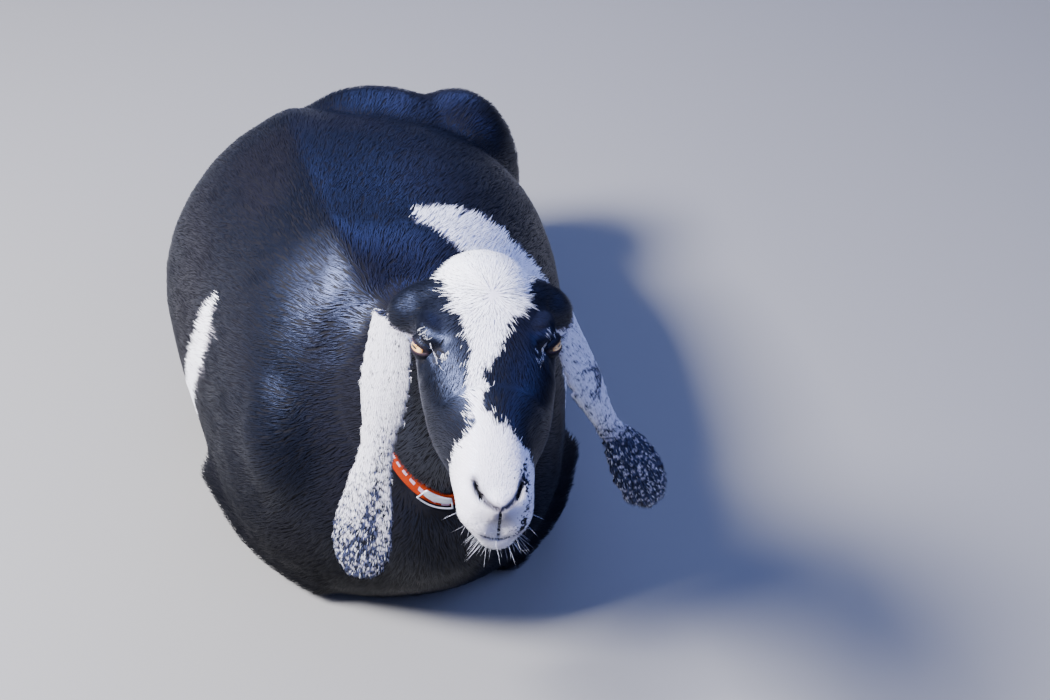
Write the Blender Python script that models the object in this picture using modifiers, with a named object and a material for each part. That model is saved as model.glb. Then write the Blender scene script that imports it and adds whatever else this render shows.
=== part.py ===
"""Life-size museum model of a hornless Nubian doe, lying upright on her chest
with the forelegs folded, the hindquarters rolled onto the right haunch and the
head raised.

Metres, +Z up.  The doe faces -Y and her left side is +X.  The whole body is
shaped from a few lofted and rounded masses, blended into one form, set on the
floor and then parted with thin cuts into head, neck, trunk, tail and legs.
The finished parts are moved together so that the origin is the centre of the
footprint, on the floor.
"""

import math

import bmesh
import bpy
from mathutils import Euler, Matrix, Vector
from mathutils.bvhtree import BVHTree

# ---------------------------------------------------------------- dimensions
CUT_GAP = 0.0003            # half of every parting cut and of every fit
FORM_VOXEL = 0.008          # blending grain of the trunk, neck and legs
HEAD_VOXEL = 0.0035         # blending grain once the head is added
FLOOR_SINK = 0.010          # soft masses are shaped this far below the floor
FLOOR_LEVEL = Vector((0.0, 0.0, 0.0005))        # where the flats are cut

HEAD_CENTRE = Vector((0.107, -0.150, 0.548))    # midway between the eyes
HEAD_YAW = math.radians(-3.0)                   # nose a little to her right
HEAD_PITCH = math.radians(-6.0)                 # muzzle lifted
HEAD_ROLL = math.radians(2.4)
EYE_RADIUS = 0.0145
EYE_SPREAD = 0.0525         # eyeball centre from the midline

EAR_THICKNESS = 0.0050

COLLAR_WIDTH = 0.019
COLLAR_THICKNESS = 0.0030
COLLAR_POINT = Vector((0.080, -0.084, 0.250))   # its lowest point, on the brisket
COLLAR_NORMAL = Vector((0.11, -0.925, 0.380)).normalized()

TRIANGLES_HEAD = 1500
TRIANGLES_BODY = 2420

# ------------------------------------------------------------- collections
for stale in list(bpy.data.objects):
    bpy.data.objects.remove(stale, do_unlink=True)

GOAT = bpy.data.collections.new("goat")
CUTTERS = bpy.data.collections.new("goat_cutters")
bpy.context.scene.collection.children.link(GOAT)
bpy.context.scene.collection.children.link(CUTTERS)


def finish(name, colour, roughness, metallic=0.0):
    """A Principled material."""
    material = bpy.data.materials.new(name)
    material.use_nodes = True
    shader = material.node_tree.nodes["Principled BSDF"]
    shader.inputs["Base Color"].default_value = (*colour, 1.0)
    shader.inputs["Roughness"].default_value = roughness
    shader.inputs["Metallic"].default_value = metallic
    return material


def add_object(name, mesh, collection=GOAT, material=None):
    thing = bpy.data.objects.new(name, mesh)
    collection.objects.link(thing)
    if collection is CUTTERS:
        thing.hide_render = True
        thing.display_type = "WIRE"
    if material is not None:
        mesh.materials.clear()
        mesh.materials.append(material)
    return thing


def mesh_from(bm, name):
    mesh = bpy.data.meshes.new(name)
    bm.to_mesh(mesh)
    bm.free()
    return mesh


# ------------------------------------------------------------------ shapes
def section(centre, side, up, left, right, top, bottom, power=2.0, narrow=0.0, count=28):
    """One closed cross-section, its quarters parts of superellipses.

    left, right, top and bottom are its reaches from the centre, power its
    squareness, and narrow how much its lower half draws in at the bottom.
    """
    points = []
    for step in range(count):
        turn = 2.0 * math.pi * step / count
        across, along = math.sin(turn), math.cos(turn)
        wide = math.copysign(abs(across) ** (2.0 / power), across)
        tall = math.copysign(abs(along) ** (2.0 / power), along)
        draw = 1.0 - narrow * max(0.0, -along) ** 2
        reach = (left if across > 0.0 else right) * wide * draw
        lift = (top if along > 0.0 else bottom) * tall
        points.append(centre + side * reach + up * lift)
    return points


def loft(name, rings, collection=CUTTERS, closed=False):
    """A closed skin through the rings, with flat ends or joined end to end."""
    bm = bmesh.new()
    loops = []
    for ring in rings:
        corners = [bm.verts.new(point) for point in ring]
        loops.append([bm.edges.new(pair) for pair in zip(corners, corners[1:] + corners[:1])])
    for first, second in zip(loops, loops[1:] + loops[:1] if closed else loops[1:]):
        bmesh.ops.bridge_loops(bm, edges=first + second)
    if not closed:
        bmesh.ops.holes_fill(bm, edges=bm.edges[:], sides=len(rings[0]))
    bmesh.ops.triangulate(bm, faces=[face for face in bm.faces if len(face.verts) > 4])
    bmesh.ops.recalc_face_normals(bm, faces=bm.faces[:])
    return add_object(name, mesh_from(bm, name), collection)


def ball(name, centre, radii, turn=(0.0, 0.0, 0.0), place=Matrix.Identity(4)):
    """A rounded mass: an ellipsoid, turned by XYZ degrees."""
    bm = bmesh.new()
    bmesh.ops.create_uvsphere(bm, u_segments=28, v_segments=16, radius=1.0)
    shape = Matrix.Diagonal((*radii, 1.0))
    spin = Euler([math.radians(angle) for angle in turn]).to_matrix().to_4x4()
    bm.transform(place @ Matrix.Translation(centre) @ spin @ shape)
    return add_object(name, mesh_from(bm, name), CUTTERS)


def smooth_path(points, steps=4):
    """Points read from a Catmull-Rom curve through the given rows of numbers."""
    rows = [Vector(point) for point in points]
    padded = [2 * rows[0] - rows[1], *rows, 2 * rows[-1] - rows[-2]]
    path = []
    for a, b, c, d in zip(padded, padded[1:], padded[2:], padded[3:]):
        for step in range(steps):
            t = step / steps
            path.append(0.5 * (2 * b + (c - a) * t + (2 * a - 5 * b + 4 * c - d) * t * t
                               + (3 * b - a - 3 * c + d) * t * t * t))
    path.append(rows[-1])
    return path


def tube(name, stations, flat=1.0, across=Vector((1.0, 0.0, 0.0))):
    """A tapering limb through rows of x, y, z, radius; flat is depth over width."""
    path = smooth_path(stations)
    rings = []
    for index, here in enumerate(path):
        before, after = path[max(index - 1, 0)], path[min(index + 1, len(path) - 1)]
        along = (after - before).to_3d().normalized()
        side = (across - along * across.dot(along)).normalized()
        radius = here[3]
        rings.append(section(here.to_3d(), side, along.cross(side),
                             radius, radius, radius * flat, radius * flat, count=20))
    return loft(name, rings)


def blend(name, forms, voxel, rounds):
    """One closed skin over all the forms, its joins softened."""
    bm = bmesh.new()
    for form in forms:
        bm.from_mesh(form.data)
        bpy.data.objects.remove(form, do_unlink=True)
    blended = add_object(name, mesh_from(bm, name), CUTTERS)
    remesh = blended.modifiers.new("one_skin", "REMESH")
    remesh.mode = "VOXEL"
    remesh.voxel_size = voxel
    soften = blended.modifiers.new("soft_joins", "SMOOTH")
    soften.factor = 0.5
    soften.iterations = rounds
    return settle(blended)


def settle(thing):
    """Applies the modifiers of an object."""
    bpy.context.view_layer.update()
    seen = thing.evaluated_get(bpy.context.evaluated_depsgraph_get())
    mesh = bpy.data.meshes.new_from_object(seen)
    thing.modifiers.clear()
    thing.data = mesh
    return thing


def thin_out(thing, triangles):
    """Reduces the mesh to about the given number of triangles."""
    reduce = thing.modifiers.new("fewer_faces", "DECIMATE")
    reduce.ratio = min(1.0, triangles / (2.0 * len(thing.data.polygons)))
    return settle(thing)


# ------------------------------------------------------------------- cuts
def keep_side(thing, point, normal):
    """Cuts by a plane, keeps what lies ahead of it and closes the face."""
    bm = bmesh.new()
    bm.from_mesh(thing.data)
    cut = bmesh.ops.bisect_plane(bm, geom=bm.verts[:] + bm.edges[:] + bm.faces[:], dist=1e-7,
                                 plane_co=point, plane_no=normal, clear_inner=True)
    rim = [part for part in cut["geom_cut"] if isinstance(part, bmesh.types.BMEdge)]
    bmesh.ops.edgenet_fill(bm, edges=rim)
    bmesh.ops.triangulate(bm, faces=[face for face in bm.faces if len(face.verts) > 4])
    bmesh.ops.recalc_face_normals(bm, faces=bm.faces[:])
    bm.to_mesh(thing.data)
    bm.free()
    return thing


def copy_of(thing, name, collection=CUTTERS):
    return add_object(name, thing.data.copy(), collection)


def grown(thing, gap, name="grown"):
    """A copy swollen by the gap along its normals."""
    copy = copy_of(thing, name)
    bm = bmesh.new()
    bm.from_mesh(copy.data)
    bm.normal_update()
    moves = [vert.normal * gap * vert.calc_shell_factor() for vert in bm.verts]
    for vert, move in zip(bm.verts, moves):
        vert.co += move
    bm.to_mesh(copy.data)
    bm.free()
    return copy


def combine(thing, cutter, operation):
    """Applies one exact Boolean to the object, keeping its largest body."""
    cut = thing.modifiers.new("cut", "BOOLEAN")
    cut.operation = operation
    cut.solver = "EXACT"
    cut.object = cutter
    settle(thing)
    return largest_body(thing)


def largest_body(thing):
    """Drops the crumbs that a cut leaves loose, and its needle-thin faces where that is safe."""
    for merge in (0.00002, 0.0):
        bm = bmesh.new()
        bm.from_mesh(thing.data)
        if merge:
            bmesh.ops.remove_doubles(bm, verts=bm.verts[:], dist=merge)
            bmesh.ops.dissolve_degenerate(bm, edges=bm.edges[:], dist=merge)
        bodies = loose_bodies(bm)
        crumbs = [vert for body in bodies[:-1] for vert in body]
        bmesh.ops.delete(bm, geom=crumbs, context="VERTS")
        bmesh.ops.triangulate(bm, faces=bm.faces[:])
        if all(edge.is_manifold for edge in bm.edges):
            break
    bm.to_mesh(thing.data)
    bm.free()
    return thing


def loose_bodies(bm):
    """The sets of vertices that hang together, smallest first."""
    left, bodies = set(bm.verts), []
    while left:
        queue, body = [left.pop()], set()
        while queue:
            vert = queue.pop()
            body.add(vert)
            for edge in vert.link_edges:
                other = edge.other_vert(vert)
                if other in left:
                    left.remove(other)
                    queue.append(other)
        bodies.append(body)
    return sorted(bodies, key=len)


def take_out(thing, region, name):
    """Splits off the part of the object inside the region, leaving a thin cut."""
    part = copy_of(thing, name, GOAT)
    combine(part, region, "INTERSECT")
    wide = grown(region, 2 * CUT_GAP)
    combine(thing, wide, "DIFFERENCE")
    bpy.data.objects.remove(wide, do_unlink=True)
    return part


def fit_round(thing, inner, gap=CUT_GAP):
    """Hollows the object where another one sits, with a thin gap."""
    wide = grown(inner, gap)
    combine(thing, wide, "DIFFERENCE")
    bpy.data.objects.remove(wide, do_unlink=True)


def block(name, corner, opposite, turn=(0.0, 0.0, 0.0), pivot=None):
    """A box-shaped cutting region between two corners, turned about a point."""
    low, high = Vector(corner), Vector(opposite)
    centre = (low + high) / 2
    about = Vector(pivot) if pivot else centre
    bm = bmesh.new()
    bmesh.ops.create_cube(bm, size=1.0)
    spin = Euler([math.radians(angle) for angle in turn]).to_matrix().to_4x4()
    bm.transform(Matrix.Translation(about) @ spin @ Matrix.Translation(centre - about)
                 @ Matrix.Diagonal((*(high - low), 1.0)))
    return add_object(name, mesh_from(bm, name), CUTTERS)


# ------------------------------------------------------------------- trunk
# Each row: distance back, right reach, left reach, spine, top, widest height, bottom
TRUNK_SECTIONS = (
    (-0.082, 0.040, 0.108, 0.072, 0.268, 0.215, 0.150),
    (-0.060, -0.005, 0.138, 0.064, 0.300, 0.195, 0.095),
    (-0.028, -0.065, 0.162, 0.050, 0.325, 0.175, 0.045),
    (0.010, -0.122, 0.200, 0.030, 0.362, 0.155, 0.000),
    (0.065, -0.165, 0.230, 0.008, 0.430, 0.150, -0.010),
    (0.140, -0.190, 0.248, -0.016, 0.456, 0.150, -0.010),
    (0.220, -0.212, 0.262, -0.034, 0.446, 0.165, -0.010),
    (0.320, -0.236, 0.270, -0.050, 0.434, 0.180, -0.010),
    (0.410, -0.248, 0.268, -0.062, 0.416, 0.185, -0.010),
    (0.490, -0.228, 0.255, -0.068, 0.392, 0.175, -0.010),
    (0.565, -0.180, 0.232, -0.062, 0.350, 0.160, -0.010),
    (0.630, -0.118, 0.190, -0.040, 0.290, 0.140, -0.010),
    (0.690, -0.050, 0.120, -0.010, 0.205, 0.115, 0.010),
)
SPINE_RIDGE = 0.011         # height of the ridge that the spine raises
SPINE_SPREAD = 0.020        # its half width
FULL_SIDE = 2.30            # squareness of the left side, filled by the rumen
SLACK_SIDE = 1.80           # and of the right side's slope from the spine


def trunk_rings():
    rings = []
    across, up = Vector((1.0, 0.0, 0.0)), Vector((0.0, 0.0, 1.0))
    for back, right, left, spine, top, widest, bottom in smooth_rows(TRUNK_SECTIONS):
        centre = Vector((spine, back, widest))
        reaches = (left - spine, spine - right, top - widest, widest - bottom)
        full = section(centre, across, up, *reaches, power=FULL_SIDE, count=40)
        slack = section(centre, across, up, *reaches, power=SLACK_SIDE, count=40)
        ring = []
        for square, sloped in zip(full, slack):
            point = sloped if sloped.x < spine and sloped.z > widest else square
            beside = (point.x - spine) / SPINE_SPREAD
            if point.z > widest:
                point.z += SPINE_RIDGE * math.exp(-beside * beside)
            ring.append(point)
        rings.append(ring)
    return rings


def smooth_rows(rows, steps=3):
    """The table's rows with Catmull-Rom rows between them."""
    path = []
    padded = [rows[0], *rows, rows[-1]]
    for a, b, c, d in zip(padded, padded[1:], padded[2:], padded[3:]):
        for step in range(steps):
            t = step / steps
            path.append([0.5 * (2 * q + (r - p) * t + (2 * p - 5 * q + 4 * r - s) * t * t
                                + (3 * q - p - 3 * r + s) * t * t * t)
                         for p, q, r, s in zip(a, b, c, d)])
    path.append(list(rows[-1]))
    return path


# Rows of x, y, z, radius from the top of each shoulder blade to the point of the shoulder
SHOULDER_RIGHT = ((-0.012, 0.145, 0.360, 0.066), (-0.042, 0.108, 0.308, 0.084),
                  (-0.064, 0.066, 0.245, 0.082), (-0.070, 0.052, 0.190, 0.068))
SHOULDER_LEFT = ((0.052, 0.145, 0.345, 0.070), (0.092, 0.108, 0.292, 0.086),
                 (0.124, 0.066, 0.230, 0.084), (0.132, 0.052, 0.180, 0.068))

trunk_forms = [
    loft("barrel", trunk_rings()),
    tube("shoulder_right", SHOULDER_RIGHT),
    tube("shoulder_left", SHOULDER_LEFT),
    ball("withers", (-0.006, 0.135, 0.385), (0.060, 0.095, 0.072)),
    ball("haunch_left", (0.138, 0.582, 0.184), (0.112, 0.112, 0.172), (0, 12, 0)),
    ball("haunch_right", (-0.090, 0.550, 0.125), (0.098, 0.110, 0.130), (0, -14, 0)),
    ball("croup", (0.048, 0.560, 0.262), (0.142, 0.105, 0.112), (0, 8, 0)),
]

# -------------------------------------------------------------------- neck
# Each row: x, y, z of the centre, half width, half depth
NECK_SECTIONS = (
    (0.018, 0.130, 0.270, 0.115, 0.155),
    (0.046, 0.060, 0.310, 0.094, 0.132),
    (0.074, 0.000, 0.360, 0.075, 0.110),
    (0.094, -0.042, 0.425, 0.063, 0.090),
    (0.105, -0.070, 0.480, 0.058, 0.076),
    (0.110, -0.098, 0.515, 0.050, 0.058),
)


def neck_rings():
    rows = smooth_rows(NECK_SECTIONS)
    rings = []
    for index, row in enumerate(rows):
        before, after = rows[max(index - 1, 0)], rows[min(index + 1, len(rows) - 1)]
        along = (Vector(after[:3]) - Vector(before[:3])).normalized()
        side = (Vector((1.0, 0.15, 0.0)) - along * along.x).normalized()
        up = side.cross(along) * -1.0
        rings.append(section(Vector(row[:3]), side, up, row[3], row[3], row[4], row[4], power=2.1))
    return rings


neck_forms = [loft("neck_form", neck_rings())]

# ------------------------------------------------------------------- limbs
# Rows of x, y, z, radius
FOREARM_RIGHT = ((-0.147, 0.170, 0.110, 0.068), (-0.122, 0.100, 0.062, 0.050),
                 (-0.080, 0.048, 0.044, 0.040), (-0.046, 0.024, 0.037, 0.036))
CANNON_RIGHT = ((-0.044, 0.028, 0.030, 0.033), (-0.070, 0.072, 0.024, 0.025),
                (-0.114, 0.145, 0.020, 0.021), (-0.134, 0.182, 0.020, 0.020))
FOREARM_LEFT = ((0.212, 0.155, 0.105, 0.062), (0.200, 0.098, 0.062, 0.048),
                (0.166, 0.050, 0.042, 0.037), (0.146, 0.026, 0.036, 0.034))
CANNON_LEFT = ((0.144, 0.030, 0.030, 0.033), (0.161, 0.075, 0.024, 0.025),
               (0.190, 0.148, 0.020, 0.021), (0.204, 0.184, 0.020, 0.020))
SHANK_LEFT = ((0.185, 0.500, 0.100, 0.060), (0.200, 0.590, 0.075, 0.048),
              (0.178, 0.670, 0.050, 0.033), (0.168, 0.700, 0.042, 0.029))
HIND_CANNON_LEFT = ((0.168, 0.703, 0.036, 0.028), (0.200, 0.670, 0.024, 0.022),
                    (0.228, 0.590, 0.019, 0.019), (0.236, 0.545, 0.019, 0.019))
SHANK_RIGHT = ((-0.150, 0.470, 0.080, 0.058), (-0.140, 0.570, 0.060, 0.046),
               (-0.100, 0.655, 0.044, 0.033), (-0.085, 0.685, 0.040, 0.029))
HIND_CANNON_RIGHT = ((-0.085, 0.688, 0.034, 0.028), (-0.130, 0.655, 0.024, 0.022),
                     (-0.182, 0.575, 0.019, 0.019), (-0.196, 0.530, 0.019, 0.019))

limb_forms = [
    tube("forearm_right_form", FOREARM_RIGHT),
    tube("cannon_right_form", CANNON_RIGHT),
    tube("forearm_left_form", FOREARM_LEFT),
    tube("cannon_left_form", CANNON_LEFT),
    tube("shank_left_form", SHANK_LEFT),
    tube("hind_cannon_left_form", HIND_CANNON_LEFT),
    tube("shank_right_form", SHANK_RIGHT),
    tube("hind_cannon_right_form", HIND_CANNON_RIGHT),
]

# -------------------------------------------------------------------- tail
TAIL_PATH = ((-0.022, 0.640, 0.285, 0.034), (-0.018, 0.700, 0.250, 0.032),
             (-0.012, 0.742, 0.190, 0.030), (-0.004, 0.756, 0.120, 0.018))
tail_forms = [tube("tail_form", TAIL_PATH, flat=0.55)]

# -------------------------------------------------------------------- head
HEAD_PLACE = Matrix.Translation(HEAD_CENTRE) @ Euler((HEAD_PITCH, HEAD_ROLL, HEAD_YAW)).to_matrix().to_4x4()

MUZZLE_ASKEW = -0.0020          # her muzzle leans a little to her right
# Each row: distance ahead of the eyes, top, bottom, half width, widest height
FACE_SECTIONS = (
    (-0.100, 0.026, -0.078, 0.044, -0.022),
    (-0.070, 0.041, -0.098, 0.056, -0.018),
    (-0.030, 0.040, -0.108, 0.063, -0.012),
    (0.005, 0.034, -0.108, 0.063, -0.012),
    (0.035, 0.026, -0.104, 0.059, -0.030),
    (0.065, 0.016, -0.099, 0.052, -0.046),
    (0.095, 0.003, -0.097, 0.038, -0.054),
    (0.122, -0.013, -0.098, 0.034, -0.056),
    (0.143, -0.030, -0.097, 0.0305, -0.058),
    (0.158, -0.047, -0.090, 0.022, -0.062),
)


def face_rings():
    rings = []
    for ahead, top, bottom, half, widest in smooth_rows(FACE_SECTIONS):
        askew = MUZZLE_ASKEW * min(1.0, max(0.0, (ahead - 0.07) / 0.05))
        centre = HEAD_PLACE @ Vector((askew, -ahead, widest))
        side = HEAD_PLACE.to_3x3() @ Vector((1.0, 0.0, 0.0))
        up = HEAD_PLACE.to_3x3() @ Vector((0.0, 0.0, 1.0))
        tapered = 0.26 + 0.20 * min(1.0, max(0.0, (ahead - 0.09) / 0.05))
        rings.append(section(centre, side, up, half, half, top - widest, widest - bottom,
                             power=2.15, narrow=tapered))
    return rings


def pair(name, centre, radii, turn=(0.0, 0.0, 0.0)):
    """The same mass on both sides of the head."""
    x, y, z = centre
    return [ball(f"{name}_left", (x, y, z), radii, turn, HEAD_PLACE),
            ball(f"{name}_right", (-x, y, z), radii, (turn[0], -turn[1], -turn[2]), HEAD_PLACE)]


# Rows of sideways, back, up and radius, from inside the skull to where the ear hangs
EAR_ROOT = ((0.022, 0.050, 0.006, 0.031), (0.048, 0.058, 0.002, 0.027),
            (0.066, 0.066, -0.008, 0.021), (0.076, 0.073, -0.026, 0.014))


def ear_root(name, side):
    """The gristly root that carries an ear out from the skull."""
    rows = [(*(HEAD_PLACE @ Vector((x * side, y, z))), radius) for x, y, z, radius in EAR_ROOT]
    return tube(name, rows, across=Vector((0.0, 1.0, 0.0)))


head_forms = [
    loft("face_form", face_rings()),
    ball("cranium", (0.0, 0.058, -0.006), (0.055, 0.066, 0.056), place=HEAD_PLACE),
    ball("chin", (0.0, -0.138, -0.091), (0.018, 0.021, 0.012), place=HEAD_PLACE),
    ball("nose_pad", (0.0, -0.152, -0.052), (0.016, 0.014, 0.014), (-35, 0, 0), HEAD_PLACE),
    *pair("brow", (0.044, 0.006, 0.014), (0.020, 0.030, 0.013)),
    *pair("orbit_back", (0.052, 0.022, 0.002), (0.014, 0.012, 0.018)),
    *pair("cheek", (0.040, 0.022, -0.055), (0.018, 0.052, 0.044)),
    *pair("lip", (0.011, -0.145, -0.071), (0.015, 0.018, 0.016)),
    *pair("nostril_wing", (0.015, -0.142, -0.051), (0.012, 0.018, 0.012)),
    ear_root("ear_root_left", 1.0),
    ear_root("ear_root_right", -1.0),
]

# ------------------------------------------------------- one skin, then parts
rough = blend("body_form", trunk_forms + neck_forms + limb_forms + tail_forms, FORM_VOXEL, 12)
whole = blend("whole_form", [rough, *head_forms], HEAD_VOXEL, 5)

HEAD_CUT = Vector((0.108, -0.062, 0.500))
HEAD_CUT_NORMAL = Vector((0.20, -0.62, 0.76)).normalized()
NECK_CUT = Vector((0.055, 0.000, 0.372))
NECK_CUT_NORMAL = Vector((0.12, -0.62, 0.775)).normalized()

head = copy_of(whole, "head", GOAT)
keep_side(head, HEAD_CUT, HEAD_CUT_NORMAL)
thin_out(head, TRIANGLES_HEAD)
keep_side(head, HEAD_CUT + HEAD_CUT_NORMAL * CUT_GAP * 2, HEAD_CUT_NORMAL)

body = copy_of(whole, "trunk", GOAT)
keep_side(body, HEAD_CUT, -HEAD_CUT_NORMAL)
keep_side(body, Vector((0.0, 0.0, 0.0)), Vector((0.0, 0.0, 1.0)))
thin_out(body, TRIANGLES_BODY)
keep_side(body, HEAD_CUT - HEAD_CUT_NORMAL * CUT_GAP * 2, -HEAD_CUT_NORMAL)
keep_side(body, FLOOR_LEVEL, Vector((0.0, 0.0, 1.0)))

neck = copy_of(body, "neck", GOAT)
keep_side(neck, NECK_CUT + NECK_CUT_NORMAL * CUT_GAP, NECK_CUT_NORMAL)
keep_side(body, NECK_CUT - NECK_CUT_NORMAL * CUT_GAP, -NECK_CUT_NORMAL)
trunk = body

leg_regions = {
    "foreleg_right": block("foreleg_right_region", (-0.40, -0.20, -0.20), (0.045, 0.235, 0.085),
                           (0, 24, 0), (0.045, 0.0, 0.085)),
    "foreleg_left": block("foreleg_left_region", (0.055, -0.20, -0.20), (0.50, 0.235, 0.085),
                          (0, -24, 0), (0.055, 0.0, 0.085)),
    "hindleg_right": block("hindleg_right_region", (-0.40, 0.44, -0.10), (-0.075, 0.90, 0.33),
                           (0, 12, 0), (-0.075, 0.6, 0.0)),
    "hindleg_left": block("hindleg_left_region", (0.105, 0.47, -0.10), (0.50, 0.90, 0.45),
                          (0, -6, 0), (0.105, 0.6, 0.0)),
    "tail": block("tail_region", (-0.09, 0.700, 0.060), (0.10, 0.90, 0.42), (12, 0, 0), (0.0, 0.700, 0.200)),
}
parts = {name: take_out(trunk, region, name) for name, region in leg_regions.items()}

# ------------------------------------------------------------------ hooves
CLAW_LENGTH = 0.052
CLAW_SPREAD = 0.0118        # half the distance between the two claws' middles
# Each row: share of the length, half width, height
CLAW_SECTIONS = ((0.0, 0.0095, 0.030), (0.30, 0.0108, 0.032), (0.70, 0.0100, 0.023),
                 (1.0, 0.0040, 0.007))
# Each foot: leg, end of the pastern, heading of the toes in degrees from +X
FEET = (
    ("foreleg_right", (-0.131, 0.178), 119.0),
    ("foreleg_left", (0.201, 0.178), 70.0),
    ("hindleg_right", (-0.194, 0.540), 250.0),
    ("hindleg_left", (0.235, 0.556), 277.0),
)


def claw(name, place, side):
    """One half of a cloven hoof, lying along the floor."""
    rings = []
    for share, half, height in CLAW_SECTIONS:
        middle = Vector((share * CLAW_LENGTH, side * CLAW_SPREAD, height / 2))
        ring = section(middle, Vector((0.0, 1.0, 0.0)), Vector((0.0, 0.0, 1.0)),
                       half, half, height / 2, height / 2, power=3.2, count=10)
        rings.append([place @ point for point in ring])
    hoof = loft(name, rings, GOAT)
    return keep_side(hoof, FLOOR_LEVEL, Vector((0.0, 0.0, 1.0)))


for leg, (x, y), heading in FEET:
    foot = Matrix.Translation((x, y, 0.0)) @ Matrix.Rotation(math.radians(heading), 4, "Z")
    for half_name, side in (("outer", 1.0), ("inner", -1.0)):
        hoof = claw(f"{leg.replace('leg', 'hoof')}_{half_name}", foot, side)
        fit_round(parts[leg], hoof)
        fit_round(trunk, hoof)

# ------------------------------------------------------------------ collar
COLLAR_BUCKLE = range(8, 11)        # the buckle plate's reach round the neck, in its steps
COLLAR_COUNT = 40
COLLAR_SUNK = 0.0026                # how far the strap presses into the coat
PLATE_DEPTH = COLLAR_THICKNESS - COLLAR_SUNK + 0.0010
PLATE_THICKNESS = 0.0022
PLATE_WIDTH = 0.018


def girth(thing, point, normal, count):
    """Places round the neck in a plane, and the way its surface faces at each."""
    bm = bmesh.new()
    bm.from_mesh(thing.data)
    surface = BVHTree.FromBMesh(bm)
    cut = bmesh.ops.bisect_plane(bm, geom=bm.verts[:] + bm.edges[:] + bm.faces[:],
                                 plane_co=point, plane_no=normal)
    rim = [part.co.copy() for part in cut["geom_cut"] if isinstance(part, bmesh.types.BMVert)]
    bm.free()
    side = Vector((1.0, 0.0, 0.0))
    up = normal.cross(side).normalized()
    middle = sum(rim, Vector()) / len(rim)
    seen = [(math.atan2((co - middle).dot(up), (co - middle).dot(side)), (co - middle).length)
            for co in rim]
    places, facings = [], []
    for step in range(count):
        turn = -math.pi + 2.0 * math.pi * step / count
        near = sorted(seen, key=lambda pair: abs(math.remainder(pair[0] - turn, 2.0 * math.pi)))
        reach = max(reach for _, reach in near[:5])
        places.append(middle + (side * math.cos(turn) + up * math.sin(turn)) * reach)
        facings.append(surface.find_nearest(places[-1])[1])
    for _ in range(3):
        places = evened(places)
    for _ in range(14):
        facings = evened(facings)
    return places, [facing.normalized() for facing in facings]


def evened(ring):
    """Each point of a closed ring, drawn towards its neighbours."""
    return [(a + 2 * b + c) / 4 for a, b, c in zip(ring[-1:] + ring[:-1], ring, ring[1:] + ring[:1])]


def band_corners(step, inner, outer, width):
    """The four corners of a band's section where it lies flat on the neck."""
    before, place, after = (NECK_PLACES[(step + k) % COLLAR_COUNT] for k in (-1, 0, 1))
    along = after - before
    edge = NECK_FACINGS[step % COLLAR_COUNT].cross(along).normalized() * width / 2
    facing = along.cross(edge).normalized()
    return [place + facing * depth + edge * end
            for depth, end in ((inner, -1), (outer, -1), (outer, 1), (inner, 1))]


def strap(name, inner, outer, width, steps, closed, collection=GOAT):
    """A band round the neck, between two depths from its surface."""
    rings = [band_corners(step, inner, outer, width) for step in steps]
    band = loft(name, rings, collection, closed)
    bm = bmesh.new()
    bm.from_mesh(band.data)
    bmesh.ops.triangulate(bm, faces=bm.faces[:], quad_method="FIXED")
    bm.to_mesh(band.data)
    bm.free()
    return band


NECK_PLACES, NECK_FACINGS = girth(whole, COLLAR_POINT, COLLAR_NORMAL, COLLAR_COUNT)
collar = strap("collar", -COLLAR_SUNK, COLLAR_THICKNESS - COLLAR_SUNK, COLLAR_WIDTH,
               range(COLLAR_COUNT), True)
plate = strap("collar_plate", PLATE_DEPTH, PLATE_DEPTH + PLATE_THICKNESS, PLATE_WIDTH,
              COLLAR_BUCKLE, False)
channel = strap("collar_channel", -COLLAR_SUNK - 2 * CUT_GAP, 0.010, COLLAR_WIDTH + 4 * CUT_GAP,
                range(COLLAR_COUNT), True, CUTTERS)
for piece in (neck, trunk):
    combine(piece, channel, "DIFFERENCE")

# -------------------------------------------------------------------- eyes
for side_name, side in (("left", 1.0), ("right", -1.0)):
    bm = bmesh.new()
    bmesh.ops.create_uvsphere(bm, u_segments=12, v_segments=8, radius=EYE_RADIUS)
    gaze = Euler((0.0, math.radians(90.0), math.radians(-30.0 if side > 0 else -150.0))).to_matrix()
    bm.transform(HEAD_PLACE @ Matrix.Translation((EYE_SPREAD * side, 0.002, 0.000)) @ gaze.to_4x4())
    eye = add_object(f"eye_{side_name}", mesh_from(bm, f"eye_{side_name}"))
    fit_round(head, eye)
    parts[eye.name] = eye

# -------------------------------------------------------------------- ears
# Each row: share of the length, half width, cupping depth.  The left ear curls in at its waist.
EAR_SECTIONS = {
    "ear_right": (
        (0.00, 0.022, 0.006), (0.08, 0.026, 0.010), (0.24, 0.030, 0.010), (0.38, 0.0265, 0.008),
        (0.52, 0.0195, 0.006), (0.64, 0.026, 0.005), (0.78, 0.0345, 0.006), (0.88, 0.0325, 0.005),
        (0.945, 0.024, 0.003), (0.985, 0.013, 0.001)),
    "ear_left": (
        (0.00, 0.020, 0.006), (0.08, 0.023, 0.010), (0.22, 0.0255, 0.010), (0.36, 0.0245, 0.009),
        (0.48, 0.0180, 0.008), (0.58, 0.0145, 0.007), (0.70, 0.0245, 0.006), (0.82, 0.031, 0.006),
        (0.92, 0.0265, 0.004), (0.985, 0.013, 0.001)),
}
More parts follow.
